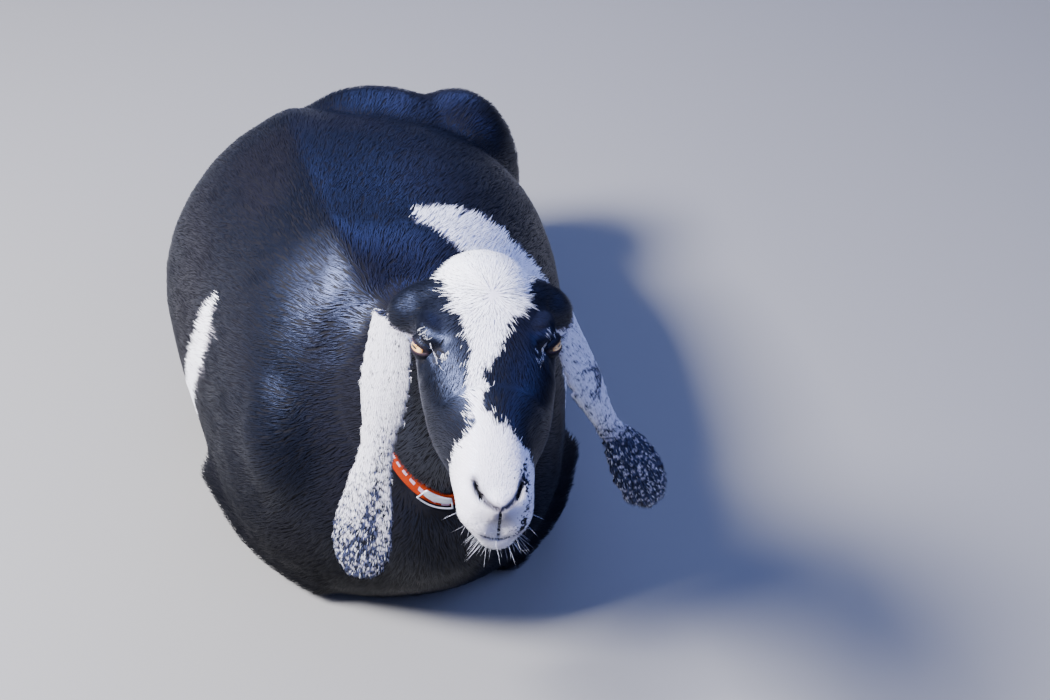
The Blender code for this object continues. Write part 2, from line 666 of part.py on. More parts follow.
# Each ear's middle line from root to tip, then the ways its flat side faces at both ends
EAR_LINES = {
    "ear_right": (((0.030, -0.072, 0.528), (0.019, -0.099, 0.472), (0.007, -0.120, 0.410),
                   (-0.012, -0.149, 0.329), (-0.024, -0.174, 0.270)),
                  (-0.66, -0.75, 0.0), (-0.48, -0.88, 0.0)),
    "ear_left": (((0.183, -0.084, 0.518), (0.201, -0.100, 0.470), (0.224, -0.114, 0.417),
                  (0.255, -0.124, 0.360), (0.291, -0.134, 0.296)),
                 (0.84, -0.54, 0.0), (0.50, -0.87, 0.0)),
}
EAR_COUNT = 12


def ear_rings(sections, guides, facing_root, facing_tip):
    path = smooth_path(guides, steps=12)
    rings = []
    for share, half, cup in smooth_rows(sections, steps=2):
        index = min(int(share * (len(path) - 1)), len(path) - 2)
        here = path[index].lerp(path[index + 1], share * (len(path) - 1) - index)
        along = (path[index + 1] - path[index]).normalized()
        facing = Vector(facing_root).lerp(Vector(facing_tip), share)
        across = facing.cross(along).normalized()
        out = along.cross(across).normalized()
        thickness = EAR_THICKNESS * (1.0 + 1.6 * max(0.0, 1.0 - share / 0.16) ** 2)
        ring = []
        for step in range(EAR_COUNT):
            turn = 2.0 * math.pi * step / EAR_COUNT
            wide, thick = math.sin(turn), math.cos(turn)
            bow = cup * (1.0 - wide * wide)
            ring.append(here + across * half * wide + out * (bow + 0.5 * thickness * thick))
        rings.append(ring)
    return rings


for name, line in EAR_LINES.items():
    ear = loft(name, ear_rings(EAR_SECTIONS[name], *line), GOAT)
    fit_round(ear, head, 2 * CUT_GAP)
    parts[name] = ear

parts.update({"head": head, "neck": neck, "trunk": trunk})

# ------------------------------------------------------------- to the origin
corners = [part.matrix_world @ vert.co for part in GOAT.objects for vert in part.data.vertices]
low = Vector([min(corner[axis] for corner in corners) for axis in range(3)])
high = Vector([max(corner[axis] for corner in corners) for axis in range(3)])
shift = Matrix.Translation((-(low.x + high.x) / 2, -(low.y + high.y) / 2, -low.z))
for part in GOAT.objects:
    part.data.transform(shift)

# --------------------------------------------------------------- materials
# What each group of parts is finished in: colour, roughness, metallic
FINISHES = {
    ("head",): ("head_coat", (0.075, 0.075, 0.085), 0.60, 0.0),
    ("ear_left", "ear_right"): ("ear_coat", (0.520, 0.520, 0.560), 0.75, 0.0),
    ("eye_left", "eye_right"): ("amber_eye", (0.620, 0.380, 0.110), 0.08, 0.0),
    ("collar",): ("orange_webbing", (0.800, 0.130, 0.020), 0.70, 0.0),
    ("collar_plate",): ("bright_plate", (0.740, 0.750, 0.770), 0.30, 1.0),
    tuple(part.name for part in GOAT.objects if "hoof" in part.name):
        ("hoof_horn", (0.050, 0.044, 0.038), 0.50, 0.0),
}
coat_black = finish("body_coat", (0.013, 0.013, 0.018), 0.50)
surfaces = {name: finish(*look) for names, look in FINISHES.items()
            for name in names[:1]}
for part in GOAT.objects:
    chosen = [surfaces[names[0]] for names in FINISHES if part.name in names]
    part.data.materials.clear()
    part.data.materials.append(chosen[0] if chosen else coat_black)
    part.data.shade_smooth()
for cutter in list(CUTTERS.objects):
    bpy.data.objects.remove(cutter, do_unlink=True)
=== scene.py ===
"""Looks of the lying Nubian doe: her skin, coat, eyes, hooves and collar, with floor and light.

Metres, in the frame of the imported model: she faces -Y, her left side is +X.  Many places are
given from her brisket (BODY) or, for the head, from the point midway between her eyes (HEAD),
with x to her left, y back and z up along the line of her face.
"""
import math

import bmesh
import bpy
import numpy as np
from mathutils import Euler, Matrix, Vector
from mathutils.bvhtree import BVHTree


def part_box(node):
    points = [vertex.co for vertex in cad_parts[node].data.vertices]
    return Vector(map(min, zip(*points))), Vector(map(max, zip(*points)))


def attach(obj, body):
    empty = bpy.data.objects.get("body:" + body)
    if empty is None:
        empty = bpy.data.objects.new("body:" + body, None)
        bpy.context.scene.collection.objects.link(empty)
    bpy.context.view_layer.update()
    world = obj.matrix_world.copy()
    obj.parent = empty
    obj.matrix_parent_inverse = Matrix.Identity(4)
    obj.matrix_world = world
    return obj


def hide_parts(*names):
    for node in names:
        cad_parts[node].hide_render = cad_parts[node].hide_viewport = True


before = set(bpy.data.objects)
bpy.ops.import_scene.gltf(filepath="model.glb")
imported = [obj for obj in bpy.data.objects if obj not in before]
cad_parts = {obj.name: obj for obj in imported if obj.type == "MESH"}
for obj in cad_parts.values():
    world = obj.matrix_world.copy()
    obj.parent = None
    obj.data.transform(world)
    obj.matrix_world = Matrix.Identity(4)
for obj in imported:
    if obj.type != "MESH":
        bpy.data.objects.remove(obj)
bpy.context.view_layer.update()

FLESH = ("head", "neck", "trunk", "tail", "foreleg_left", "foreleg_right",
         "hindleg_left", "hindleg_right", "ear_left", "ear_right")
EYE_NODES = ("eye_right", "eye_left")
COLLAR_NODES = ("collar", "collar_plate")
chance = np.random.default_rng(7)

# ------------------------------------------------------------------ her place
# The head's tilt, and how far the point between the eyes is from the brisket
HEAD_TURN = Euler((math.radians(-6.0), math.radians(2.4), math.radians(-3.0))).to_matrix()
eye_boxes = [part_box(name) for name in EYE_NODES]
eye_places = [(low + high) / 2 for low, high in eye_boxes]
HEAD = (eye_places[0] + eye_places[1]) / 2 - HEAD_TURN @ Vector((0.0, 0.002, 0.0))
BODY = HEAD - Vector((0.107, -0.150, 0.548))
TURN = np.array(HEAD_TURN)


def from_head(points):
    """Points given in the head's own axes, moved to the frame."""
    return np.asarray(points, float) @ TURN.T + np.array(HEAD)


def to_head(points):
    return (np.asarray(points, float) - np.array(HEAD)) @ TURN


def to_body(points):
    return np.asarray(points, float) - np.array(BODY)


def step_up(value, start, stop):
    """0 below start, 1 above stop, smooth between; start may be the larger."""
    t = np.clip((np.asarray(value, float) - start) / (stop - start), 0.0, 1.0)
    return t * t * (3.0 - 2.0 * t)


def linear(colour):
    """An sRGB hex colour as linear red, green and blue."""
    parts = [int(colour[i:i + 2], 16) / 255.0 for i in (1, 3, 5)]
    return tuple(c / 12.92 if c <= 0.04045 else ((c + 0.055) / 1.055) ** 2.4 for c in parts)


# ----------------------------------------------------------- camera and room
# She is seen from in front and above, a little to the right of her nose.
HEADING, TILT, LEAN = math.radians(10.0), math.radians(42.14), math.radians(2.17)
LENS_MM = 46.83

ahead = Vector((math.sin(HEADING) * math.cos(TILT), math.cos(HEADING) * math.cos(TILT), -math.sin(TILT)))
level = Vector((math.cos(HEADING), -math.sin(HEADING), 0.0))
right = level * math.cos(LEAN) + level.cross(ahead) * math.sin(LEAN)
axes = Matrix((right, right.cross(ahead), -ahead)).transposed().to_4x4()
camera = bpy.data.objects.new("camera", bpy.data.cameras.new("camera"))
camera.matrix_world = Matrix.Translation(BODY + Vector((-0.016, -1.043, 1.360))) @ axes
camera.data.lens = LENS_MM
camera.data.sensor_width = 36.0
camera.data.clip_start = 0.01
bpy.context.scene.collection.objects.link(camera)
bpy.context.scene.camera = camera


def add_node(material, kind, **settings):
    """One shader node; names of sockets take values, other names are the node's settings."""
    node = material.node_tree.nodes.new(kind)
    for name, value in settings.items():
        if name in node.inputs:
            node.inputs[name].default_value = value
        else:
            setattr(node, name, value)
    return node


def plain_material(name, colour, roughness, **sockets):
    """A Principled material and its shader node."""
    material = bpy.data.materials.new(name)
    material.use_nodes = True
    shader = material.node_tree.nodes["Principled BSDF"]
    shader.inputs["Base Color"].default_value = (*linear(colour), 1.0)
    shader.inputs["Roughness"].default_value = roughness
    for socket, value in sockets.items():
        shader.inputs[socket.replace("_", " ")].default_value = value
    return material, shader


def area_light(name, place, target, size, power, colour):
    lamp = bpy.data.lights.new(name, "AREA")
    lamp.size = size
    lamp.energy = power
    lamp.color = linear(colour)
    light = bpy.data.objects.new(name, lamp)
    light.location = BODY + Vector(place)
    light.rotation_euler = (BODY + Vector(target) - light.location).to_track_quat("-Z", "Y").to_euler()
    bpy.context.scene.collection.objects.link(light)


area_light("sun_side", (-2.0, -0.2, 2.6), (0.05, 0.10, 0.30), 0.9, 640.0, "#fbfaff")
area_light("sky_front", (0.2, -1.3, 3.0), (0.05, 0.1, 0.30), 2.2, 50.0, "#9fb4ff")
area_light("sky_left", (2.3, -0.5, 2.2), (0.10, 0.0, 0.35), 2.0, 70.0, "#8fa6ff")
area_light("sky_back", (0.6, 2.5, 2.3), (0.05, 0.3, 0.25), 2.0, 64.0, "#8ca4ff")

world = bpy.data.worlds.new("studio")
world.use_nodes = True
world.node_tree.nodes["Background"].inputs["Color"].default_value = (*linear("#b4c2f0"), 1.0)
world.node_tree.nodes["Background"].inputs["Strength"].default_value = 0.20
bpy.context.scene.world = world

floor_material, floor_shader = plain_material("matt_floor", "#757472", 0.85)
bm = bmesh.new()
bmesh.ops.create_grid(bm, x_segments=2, y_segments=2, size=6.0)
floor_mesh = bpy.data.meshes.new("floor")
bm.to_mesh(floor_mesh)
bm.free()
floor_mesh.materials.append(floor_material)
floor = bpy.data.objects.new("floor", floor_mesh)
floor.location.z = -0.0005
bpy.context.scene.collection.objects.link(floor)

# ---------------------------------------------------------------------- skin
# The hide under the coat: one closed skin over head, neck, trunk, legs, tail and ears,
# lying inside the body's outline by the depth of the hair.  It is made at a finer grain
# round the face, by stretching space there while the skin is formed.
SWELL = 0.0007                  # closes the thin cuts between the solids
SKIN_GRAIN = 0.0090             # the skin's mesh, in stretched space
FINE_CENTRE = (0.0, -0.035, -0.030)     # of the stretched place, from the head
FINE_SCALE = 3.0
FINE_REACH, COARSE_REACH = 0.220, 0.440

radius_table = np.linspace(0.0, 2.5, 2501)
slopes = 1.0 + (FINE_SCALE - 1.0) * (1.0 - step_up(radius_table, FINE_REACH, COARSE_REACH))
stretched_table = np.concatenate([[0.0], np.cumsum((slopes[1:] + slopes[:-1]) / 2 * 0.001)])
fine_middle = from_head([FINE_CENTRE])[0]


def rescale(points, source, target):
    """Moves points along rays from the fine place, from one table of reaches to the other."""
    away = points - fine_middle
    reach = np.linalg.norm(away, axis=1)
    return fine_middle + away * (np.interp(reach, source, target) / np.maximum(reach, 1e-9))[:, None]


def coordinates(mesh):
    flat = np.empty(len(mesh.vertices) * 3, np.float32)
    mesh.vertices.foreach_get("co", flat)
    return flat.reshape(-1, 3).astype(float)


def put_coordinates(mesh, points):
    mesh.vertices.foreach_set("co", np.asarray(points, np.float32).ravel())
    mesh.update()


def merged_flesh(names, swell):
    """All the named solids in one mesh, each swollen a little."""
    bm = bmesh.new()
    for name in names:
        bm.from_mesh(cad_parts[name].data)
    bmesh.ops.remove_doubles(bm, verts=bm.verts[:], dist=1e-6)
    bm.normal_update()
    for vert in bm.verts:
        vert.co += vert.normal * swell
    mesh = bpy.data.meshes.new("flesh")
    bm.to_mesh(mesh)
    bm.free()
    return mesh


def edges_of(mesh):
    pairs = np.empty(len(mesh.edges) * 2, np.int32)
    mesh.edges.foreach_get("vertices", pairs)
    return pairs.reshape(-1, 2)


def neighbours_mean(points, pairs, degree):
    total = np.empty_like(points)
    for axis in range(points.shape[1]):
        column = points[:, axis]
        total[:, axis] = (np.bincount(pairs[:, 0], column[pairs[:, 1]], len(points))
                          + np.bincount(pairs[:, 1], column[pairs[:, 0]], len(points)))
    return total / degree[:, None]


def even_out(points, pairs, rounds):
    """Takes the facets off without shrinking: each point has its own number of rounds."""
    degree = np.maximum(np.bincount(pairs.ravel(), minlength=len(points)), 1)
    for index in range(int(rounds.max())):
        active = (rounds > index)[:, None]
        for strength in (0.52, -0.54):
            pull = neighbours_mean(points, pairs, degree) - points
            points = points + active * strength * pull
    return points


def normals_of(mesh):
    flat = np.empty(len(mesh.vertices) * 3, np.float32)
    mesh.vertex_normals.foreach_get("vector", flat)
    return flat.reshape(-1, 3).astype(float)


flesh = merged_flesh(FLESH + EYE_NODES, SWELL)
put_coordinates(flesh, rescale(coordinates(flesh), radius_table, stretched_table))
skin = bpy.data.objects.new("skin", flesh)
bpy.context.scene.collection.objects.link(skin)
grain = skin.modifiers.new("grain", "REMESH")
grain.mode = "VOXEL"
grain.voxel_size = SKIN_GRAIN
bpy.context.view_layer.update()
formed = bpy.data.meshes.new_from_object(skin.evaluated_get(bpy.context.evaluated_depsgraph_get()))
skin.modifiers.clear()
skin.data = formed
points = rescale(coordinates(formed), stretched_table, radius_table)


def nearness(names, points, reach):
    """Distance of each point from the surface of the named solids, up to a reach."""
    mesh = merged_flesh(names, 0.0)
    tree = BVHTree.FromPolygons([v.co for v in mesh.vertices], [tuple(p.vertices) for p in mesh.polygons])
    solid = coordinates(mesh)
    near = np.all((points > solid.min(0) - reach) & (points < solid.max(0) + reach), axis=1)
    found = np.full(len(points), reach)
    for index in np.flatnonzero(near):
        hit = tree.find_nearest(points[index], reach)
        if hit[0] is not None:
            found[index] = hit[3]
    return found


HEAD_CUT, HEAD_CUT_WAY = np.array((0.108, -0.062, 0.500)), np.array((0.20, -0.62, 0.76))


def headness(points):
    """Signed distance ahead of where the head meets the neck."""
    return (to_body(points) - HEAD_CUT) @ (HEAD_CUT_WAY / np.linalg.norm(HEAD_CUT_WAY))


# The body needs no fine grain: its points are thinned out, and the head's and ears' are kept
put_coordinates(formed, points)
KEPT_SHARE = 0.24
thinned = skin.vertex_groups.new(name="thinned")
close_ears = nearness(("ear_right", "ear_left"), points, 0.014) < 0.010
bulk = (headness(points) < -0.020) & ~close_ears
thinned.add(np.flatnonzero(bulk).tolist(), 1.0, "REPLACE")
thinning = skin.modifiers.new("thinning", "DECIMATE")
thinning.ratio = 1.0 - (1.0 - KEPT_SHARE) * bulk.mean()
thinning.vertex_group = thinned.name
bpy.context.view_layer.update()
formed = bpy.data.meshes.new_from_object(skin.evaluated_get(bpy.context.evaluated_depsgraph_get()))
print("skin formed", len(points), "thinned", len(formed.vertices))
skin.modifiers.clear()
skin.vertex_groups.clear()
skin.data = formed
points = coordinates(formed)

right_ear = nearness(("ear_right",), points, 0.012)
left_ear = nearness(("ear_left",), points, 0.012)
on_ear = 1.0 - step_up(np.minimum(right_ear, left_ear), 0.0015, 0.0060)
on_head = step_up(headness(points), -0.02, 0.02) * (1.0 - on_ear)
rounds = 26.0 - 8.0 * on_head - 12.0 * on_ear
pairs = edges_of(formed)
points = even_out(points, pairs, rounds)
put_coordinates(formed, points)



def refined(mesh, chosen):
    """Halves the mesh's edges that lie between chosen points."""
    bm = bmesh.new()
    bm.from_mesh(mesh)
    picked = chosen.tolist()
    edges = [edge for edge in bm.edges if picked[edge.verts[0].index] and picked[edge.verts[1].index]]
    bmesh.ops.subdivide_edges(bm, edges=edges, cuts=1, use_grid_fill=True)
    bmesh.ops.triangulate(bm, faces=[face for face in bm.faces if len(face.verts) > 4])
    bm.to_mesh(mesh)
    bm.free()


EYE_MIDDLES = to_head([list(place) for place in eye_places])
# The skin opens round each eyeball between two thick lids, with a fold over the upper one.
# The nose ends in two comma nostrils joined by a groove, split below down to the mouth.
EYE_BALL = 0.0139
GAZE_AHEAD, GAZE_UP = math.radians(27.0), math.radians(14.0)
OPEN_AHEAD, OPEN_BACK, OPEN_UP = math.radians(54.0), math.radians(46.0), math.radians(10.5)


def eye_axes(side):
    """An eye's gaze, ahead and up ways in the head's axes; side is 1 for her left."""
    turn, rise = (math.cos(GAZE_AHEAD), math.sin(GAZE_AHEAD)), (math.cos(GAZE_UP), math.sin(GAZE_UP))
    return np.array(((side * turn[0] * rise[0], -turn[1] * rise[0], rise[1]),
                     (-side * turn[1], -turn[0], 0.0),
                     (-side * turn[0] * rise[1], turn[1] * rise[1], rise[0])))


def from_lids(away, side):
    """Distance from the lids' edge, less than 0 in the opening, and turn and rise from the gaze."""
    seen = away @ eye_axes(side).T
    reach = np.maximum(np.linalg.norm(away, axis=1), 1e-6)
    turn = np.arctan2(seen[:, 1], seen[:, 0])
    rise = np.arcsin(np.clip(seen[:, 2] / reach, -1.0, 1.0))
    corner = np.where(turn > 0.0, OPEN_AHEAD, OPEN_BACK)
    share = np.minimum(np.abs(turn) / corner, 1.0)
    limit = OPEN_UP * (1.0 - share ** 2) ** 0.75
    gap = np.where(np.abs(turn) > corner, np.hypot(np.abs(turn) - corner, rise), np.abs(rise) - limit)
    return gap * EYE_BALL, turn, rise


def path_points(path, spacing=0.0005):
    """Places along a line of guides, close together."""
    guides = np.array(path, float)
    steps = np.concatenate([[0.0], np.cumsum(np.linalg.norm(np.diff(guides, axis=0), axis=1))])
    wanted = np.linspace(0.0, steps[-1], int(steps[-1] / spacing) + 2)
    return np.stack([np.interp(wanted, steps, guides[:, axis]) for axis in range(3)], 1)


def from_path(places, path, reach=0.02):
    """Distance of each place from a line of guides, up to a reach, and the share along it."""
    line = path_points(path)
    near = np.flatnonzero(np.all((places > line.min(0) - reach) & (places < line.max(0) + reach), axis=1))
    found, share = np.full(len(places), reach), np.zeros(len(places))
    if len(near):
        away = np.linalg.norm(places[near][:, None, :] - line[None], axis=2)
        found[near] = np.minimum(away.min(axis=1), reach)
        share[near] = away.argmin(axis=1) / (len(line) - 1)
    return found, share


def curve(start, middle, end, count=9):
    """Places along a smooth curve through three guides."""
    start, middle, end = (np.array(guide, float) for guide in (start, middle, end))
    share = np.linspace(0.0, 1.0, count)[:, None]
    bend = 2.0 * middle - 0.5 * (start + end)
    return (1.0 - share) ** 2 * start + 2.0 * share * (1.0 - share) * bend + share ** 2 * end


def on_both_sides(path):
    """A line of her left side and its mirror image, by side."""
    return {side: path * (side, 1.0, 1.0) for side in (-1, 1)}


MOUTH_HALF = 0.033              # from the middle to a corner of the mouth
MOUTH_BACK, MOUTH_AHEAD = 0.100, 0.160
MOUTH_LEVEL, MOUTH_DIP, MOUTH_RISE = -0.074, 0.010, 0.004
DIP_REACH = 0.015


def mouth_line():
    """The parting of the lips round the muzzle, lowest under the nose and rising to its corners."""
    swing = np.radians(np.linspace(-90.0, 90.0, 61))
    ahead = np.maximum(np.cos(swing), 0.0)
    across = MOUTH_HALF * np.sign(swing) * np.abs(np.sin(swing)) ** (2.0 / 3.0)
    forward = MOUTH_BACK + (MOUTH_AHEAD - MOUTH_BACK) * ahead ** (2.0 / 3.0)
    level = MOUTH_LEVEL - MOUTH_DIP * np.exp(-(across / DIP_REACH) ** 2) + MOUTH_RISE * (1.0 - ahead) ** 4
    return np.stack([across, -forward, level], 1)


# Lines of the face in the head's axes: her left, ahead is less than 0, and up from the eyes
NOSE_TIP = (0.0, -0.164, -0.046)
LIP_MIDDLE = (0.0, -0.158, -0.083)
NOSTRILS = on_both_sides(curve((0.020, -0.140, -0.034), (0.018, -0.148, -0.039), (0.013, -0.155, -0.043)))
WINGS = on_both_sides(curve((0.016, -0.150, -0.041), (0.009, -0.159, -0.044), NOSE_TIP))
PHILTRUM = curve(NOSE_TIP, (0.0, -0.162, -0.061), LIP_MIDDLE)
MOUTH = mouth_line()

# Finer faces where the lids, nose and mouth are shaped, in three steps
for eye_reach, muzzle_start in ((0.027, 0.116), (0.023, 0.134)):
    local = to_head(coordinates(formed))
    fine = (-local[:, 1] > muzzle_start) & (np.abs(local[:, 0]) < 0.06) & (local[:, 2] > -0.12)
    for middle in EYE_MIDDLES:
        fine |= np.linalg.norm(local - middle, axis=1) < eye_reach
    refined(formed, fine)
local = to_head(coordinates(formed))
fine = np.zeros(len(local), bool)
for path in (*NOSTRILS.values(), *WINGS.values(), PHILTRUM, MOUTH):
    fine |= from_path(local, path)[0] < 0.0028
for middle, side in zip(EYE_MIDDLES, (-1.0, 1.0)):
    away = local - middle
    gap = from_lids(away, side)[0]
    fine |= (np.linalg.norm(away, axis=1) < 0.024) & (away @ eye_axes(side)[0] > 0.0) & (np.abs(gap) < 0.0045)
refined(formed, fine)
points = coordinates(formed)
local = to_head(points)
fine = (-local[:, 1] > 0.100) & (np.abs(local[:, 0]) < 0.06)
for middle in EYE_MIDDLES:
    fine |= np.linalg.norm(local - middle, axis=1) < 0.032
points = even_out(points, edges_of(formed), 9.0 * fine)
right_ear = nearness(("ear_right",), points, 0.012)
left_ear = nearness(("ear_left",), points, 0.012)
on_ear = 1.0 - step_up(np.minimum(right_ear, left_ear), 0.0015, 0.0060)
on_head = step_up(headness(points), -0.02, 0.02) * (1.0 - on_ear)
put_coordinates(formed, points)

collar_gap = nearness(COLLAR_NODES, points, 0.03)

# The depth of the hair, by which the skin lies inside the outline
BODY_DEPTH, HEAD_DEPTH, MUZZLE_DEPTH, EAR_DEPTH = 0.0034, 0.0018, 0.0007, 0.0006
local = to_head(points)
head_depth = HEAD_DEPTH + (MUZZLE_DEPTH - HEAD_DEPTH) * step_up(-local[:, 1], 0.07, 0.11)
depth = BODY_DEPTH + (head_depth - BODY_DEPTH) * on_head
depth = depth + (EAR_DEPTH - depth) * on_ear
points = points - normals_of(formed) * depth[:, None]
# What she lies on presses the coat flat
points[:, 2] -= (BODY_DEPTH - 0.0012) * (1.0 - step_up(points[:, 2], 0.006, 0.030))
points[:, 2] = np.maximum(points[:, 2], 0.0008)
put_coordinates(formed, points)

# ---------------------------------------------------------- lids, nose, mouth
lid_gap = np.full(len(points), 0.1)
for middle, side in zip(EYE_MIDDLES, (-1.0, 1.0)):
    away = to_head(points) - middle
    reach = np.linalg.norm(away, axis=1)
    gap, turn, rise = from_lids(away, side)
    near = (reach < 0.036) & (away @ eye_axes(side)[0] > -0.004) & (gap < 0.024)
    fold = np.where(rise > 0.0, 0.0011, 0.0004) * np.exp(-((gap - 0.0066) / 0.0011) ** 2)
    lid = EYE_BALL + 0.0007 + 0.0006 * np.exp(-((gap - 0.0030) / 0.0020) ** 2) - fold
    wanted = (EYE_BALL - 0.0025) + (lid - EYE_BALL + 0.0025) * step_up(gap, -0.0005, 0.0005)
    wanted += (reach - wanted) * step_up(gap, 0.0035, 0.0180)
    wanted = np.maximum(wanted, np.where(gap > 0.0005, EYE_BALL + 0.0005, 0.0))
    moved = np.array(middle) + away * (wanted / np.maximum(reach, 1e-6))[:, None]
    points[near] = from_head(moved)[near]
    lid_gap[near] = gap[near]
put_coordinates(formed, points)


def on_skin(path):
    """The same line, moved on to the skin."""
    tree = BVHTree.FromPolygons([tuple(point) for point in points],
                                [tuple(face.vertices) for face in formed.polygons])
    return to_head([list(tree.find_nearest(Vector(place))[0]) for place in from_head(path)])


def carve(path, depth, half, ease=0.12):
    """Presses a groove into the skin along a line in the head's axes; returns how deep it is."""
    global points
    away, share = from_path(to_head(points), on_skin(path))
    groove = np.exp(-(away / half) ** 2) * np.minimum(1.0, np.minimum(share, 1.0 - share) / ease)
    points = points - normals_of(formed) * (groove * depth)[:, None]
    put_coordinates(formed, points)
    return groove


def swell(place, radius, height):
    """Raises a soft round form on the skin."""
    global points
    away = np.linalg.norm(to_head(points) - np.array(place), axis=1)
    points = points + normals_of(formed) * (height * np.exp(-(away / radius) ** 2))[:, None]
    put_coordinates(formed, points)


# The ears' roots run on smoothly from the poll
for side in (-1, 1):
    swell((side * 0.0640, 0.0490, 0.0200), 0.0190, -0.0042)
    swell((side * 0.0500, 0.0330, 0.0200), 0.0100, 0.0022)
for side in (-1, 1):
    swell((side * 0.0125, -0.1570, -0.0610), 0.0090, 0.0016)
    swell((side * 0.0240, -0.1440, -0.0480), 0.0060, 0.0012)
    swell((side * 0.0240, -0.1450, -0.0680), 0.0120, 0.0030)
    swell((side * 0.0130, -0.1560, -0.0880), 0.0090, 0.0016)
swell((0.0, -0.1600, -0.0400), 0.0080, 0.0008)
swell((0.001, -0.1560, -0.0905), 0.0100, 0.0012)
wings = np.maximum(*(carve(WINGS[side], 0.0016, 0.0017) for side in (-1, 1)))
nostrils = np.maximum(*(carve(NOSTRILS[side], 0.0062, 0.0019, 0.2) for side in (-1, 1)))
philtrum = carve(PHILTRUM, 0.0018, 0.0008)
carve(PHILTRUM, 0.0007, 0.0035)
mouth = carve(MOUTH, 0.0022, 0.0009, 0.10)
carve(MOUTH, 0.0005, 0.0028)
formed.shade_smooth()
print("skin", len(formed.vertices), "triangles", sum(len(face.vertices) - 2 for face in formed.polygons))

# How dark or bare the hide is about the nose, mouth and lids, for hide and hair alike: painted shade in the nose's
# grooves and slits, the philtrum and the mouth parting, the nose pad's own greyish bare skin, and the lids' dark
# bare rims
local = to_head(points)
by_nose = np.minimum(*(from_path(local, np.concatenate([NOSTRILS[side], WINGS[side]]))[0] for side in (-1, 1)))
pad = np.exp(-(np.linalg.norm((local - (0.0, -0.1610, -0.0520)) * (0.8, 1.0, 1.1), axis=1) / 0.0095) ** 2)
soft_shade = np.maximum(0.95 * np.exp(-(by_nose / 0.0042) ** 2), 0.72 * pad)
soft_shade = np.maximum(soft_shade, 0.45 * np.exp(-(from_path(local, MOUTH)[0] / 0.0028) ** 2))
dark_shade = np.clip(np.maximum.reduce([1.7 * nostrils, 1.3 * philtrum, 1.1 * mouth, 0.5 * wings]), 0.0, 0.97)
lid_shade = 1.0 - step_up(lid_gap, 0.0008, 0.0030)
bare = np.maximum.reduce([step_up(nostrils, 0.25, 0.50), step_up(philtrum, 0.30, 0.60),
                          0.75 * step_up(mouth, 0.40, 0.75), 1.0 - step_up(lid_gap, 0.0006, 0.0016),
                          0.35 * pad])

# ------------------------------------------------------------------ markings
# Black, with a white poll and blaze, a white muzzle, white flecked ears, and a white belt
# behind the shoulders that is broad on her left and a narrow stripe on her right.
# The blaze's edges, in the head's axes: distance ahead of the eyes, right edge, left edge
BLAZE = np.array((
    (-0.100, -0.012, 0.014), (-0.085, -0.036, 0.038), (-0.070, -0.043, 0.046), (-0.014, -0.031, 0.036),
    (0.010, -0.022, 0.016), (0.028, -0.018, 0.012), (0.038, -0.019, 0.005), (0.058, -0.023, -0.009),
    (0.080, -0.021, -0.011), (0.110, -0.018, 0.000)))
# The line of dark spots from her left nostril down her lip
SPOTTED = curve((0.022, -0.130, -0.029), (0.022, -0.147, -0.048), (0.018, -0.157, -0.070))
# The left belt: height, rear edge, front edge, both measured back from the brisket
BELT = np.array(((0.0, 0.235, 0.170), (0.30, 0.220, 0.140), (0.36, 0.230, 0.130), (0.39, 0.250, 0.135),
                 (0.42, 0.235, 0.145), (0.435, 0.225, 0.190), (0.44, 0.205, 0.205)))
BELT_TOP_LEFT = 0.072           # how near the spine its upper end comes
EAR_GUIDES = {
    "right": ((0.030, -0.072, 0.528), (0.019, -0.099, 0.472), (0.007, -0.120, 0.410),
              (-0.012, -0.149, 0.329), (-0.024, -0.174, 0.270)),
    "left": ((0.183, -0.084, 0.518), (0.201, -0.100, 0.470), (0.224, -0.114, 0.417),
             (0.255, -0.124, 0.360), (0.291, -0.134, 0.296)),
}
EAR_HALF_WIDTH = 0.034


def lattice(places, size, seed):
    """Smooth noise from 0 to 1 with lumps of the given size."""
    cells = places / size + seed * 17.13
    base = np.floor(cells).astype(np.int64)
    part = cells - base
    part = part * part * (3.0 - 2.0 * part)
    total = np.zeros(len(places))
    for corner in range(8):
        offset = np.array([(corner >> axis) & 1 for axis in range(3)])
        weight = np.prod(np.where(offset == 1, part, 1.0 - part), axis=1)
        key = (base + offset) @ np.array([73856093, 19349663, 83492791]) + seed * 2654435
        key = (key ^ (key >> 13)) * 1274126177
        total += weight * (((key ^ (key >> 16)) & 0xFFFF) / 65535.0)
    return total


def ear_frame(places, side):
    """Share of the way down an ear, and offset from its middle line, 0 to 1 at the rim."""
    guides = np.array(EAR_GUIDES[side])
    steps = np.linspace(0.0, 1.0, 41)
    line = np.stack([np.interp(steps, np.linspace(0, 1, len(guides)), guides[:, k]) for k in range(3)], 1)
    body = to_body(places)
    away = np.linalg.norm(body[:, None, :] - line[None], axis=2)
    index = away.argmin(axis=1)
    along = (guides[-1] - guides[0]) / np.linalg.norm(guides[-1] - guides[0])
    level = np.cross(along, (0.0, 1.0, 0.0))
    level /= np.linalg.norm(level)
    offset = (body - line[index]) @ level / EAR_HALF_WIDTH
    return steps[index], offset, along, level


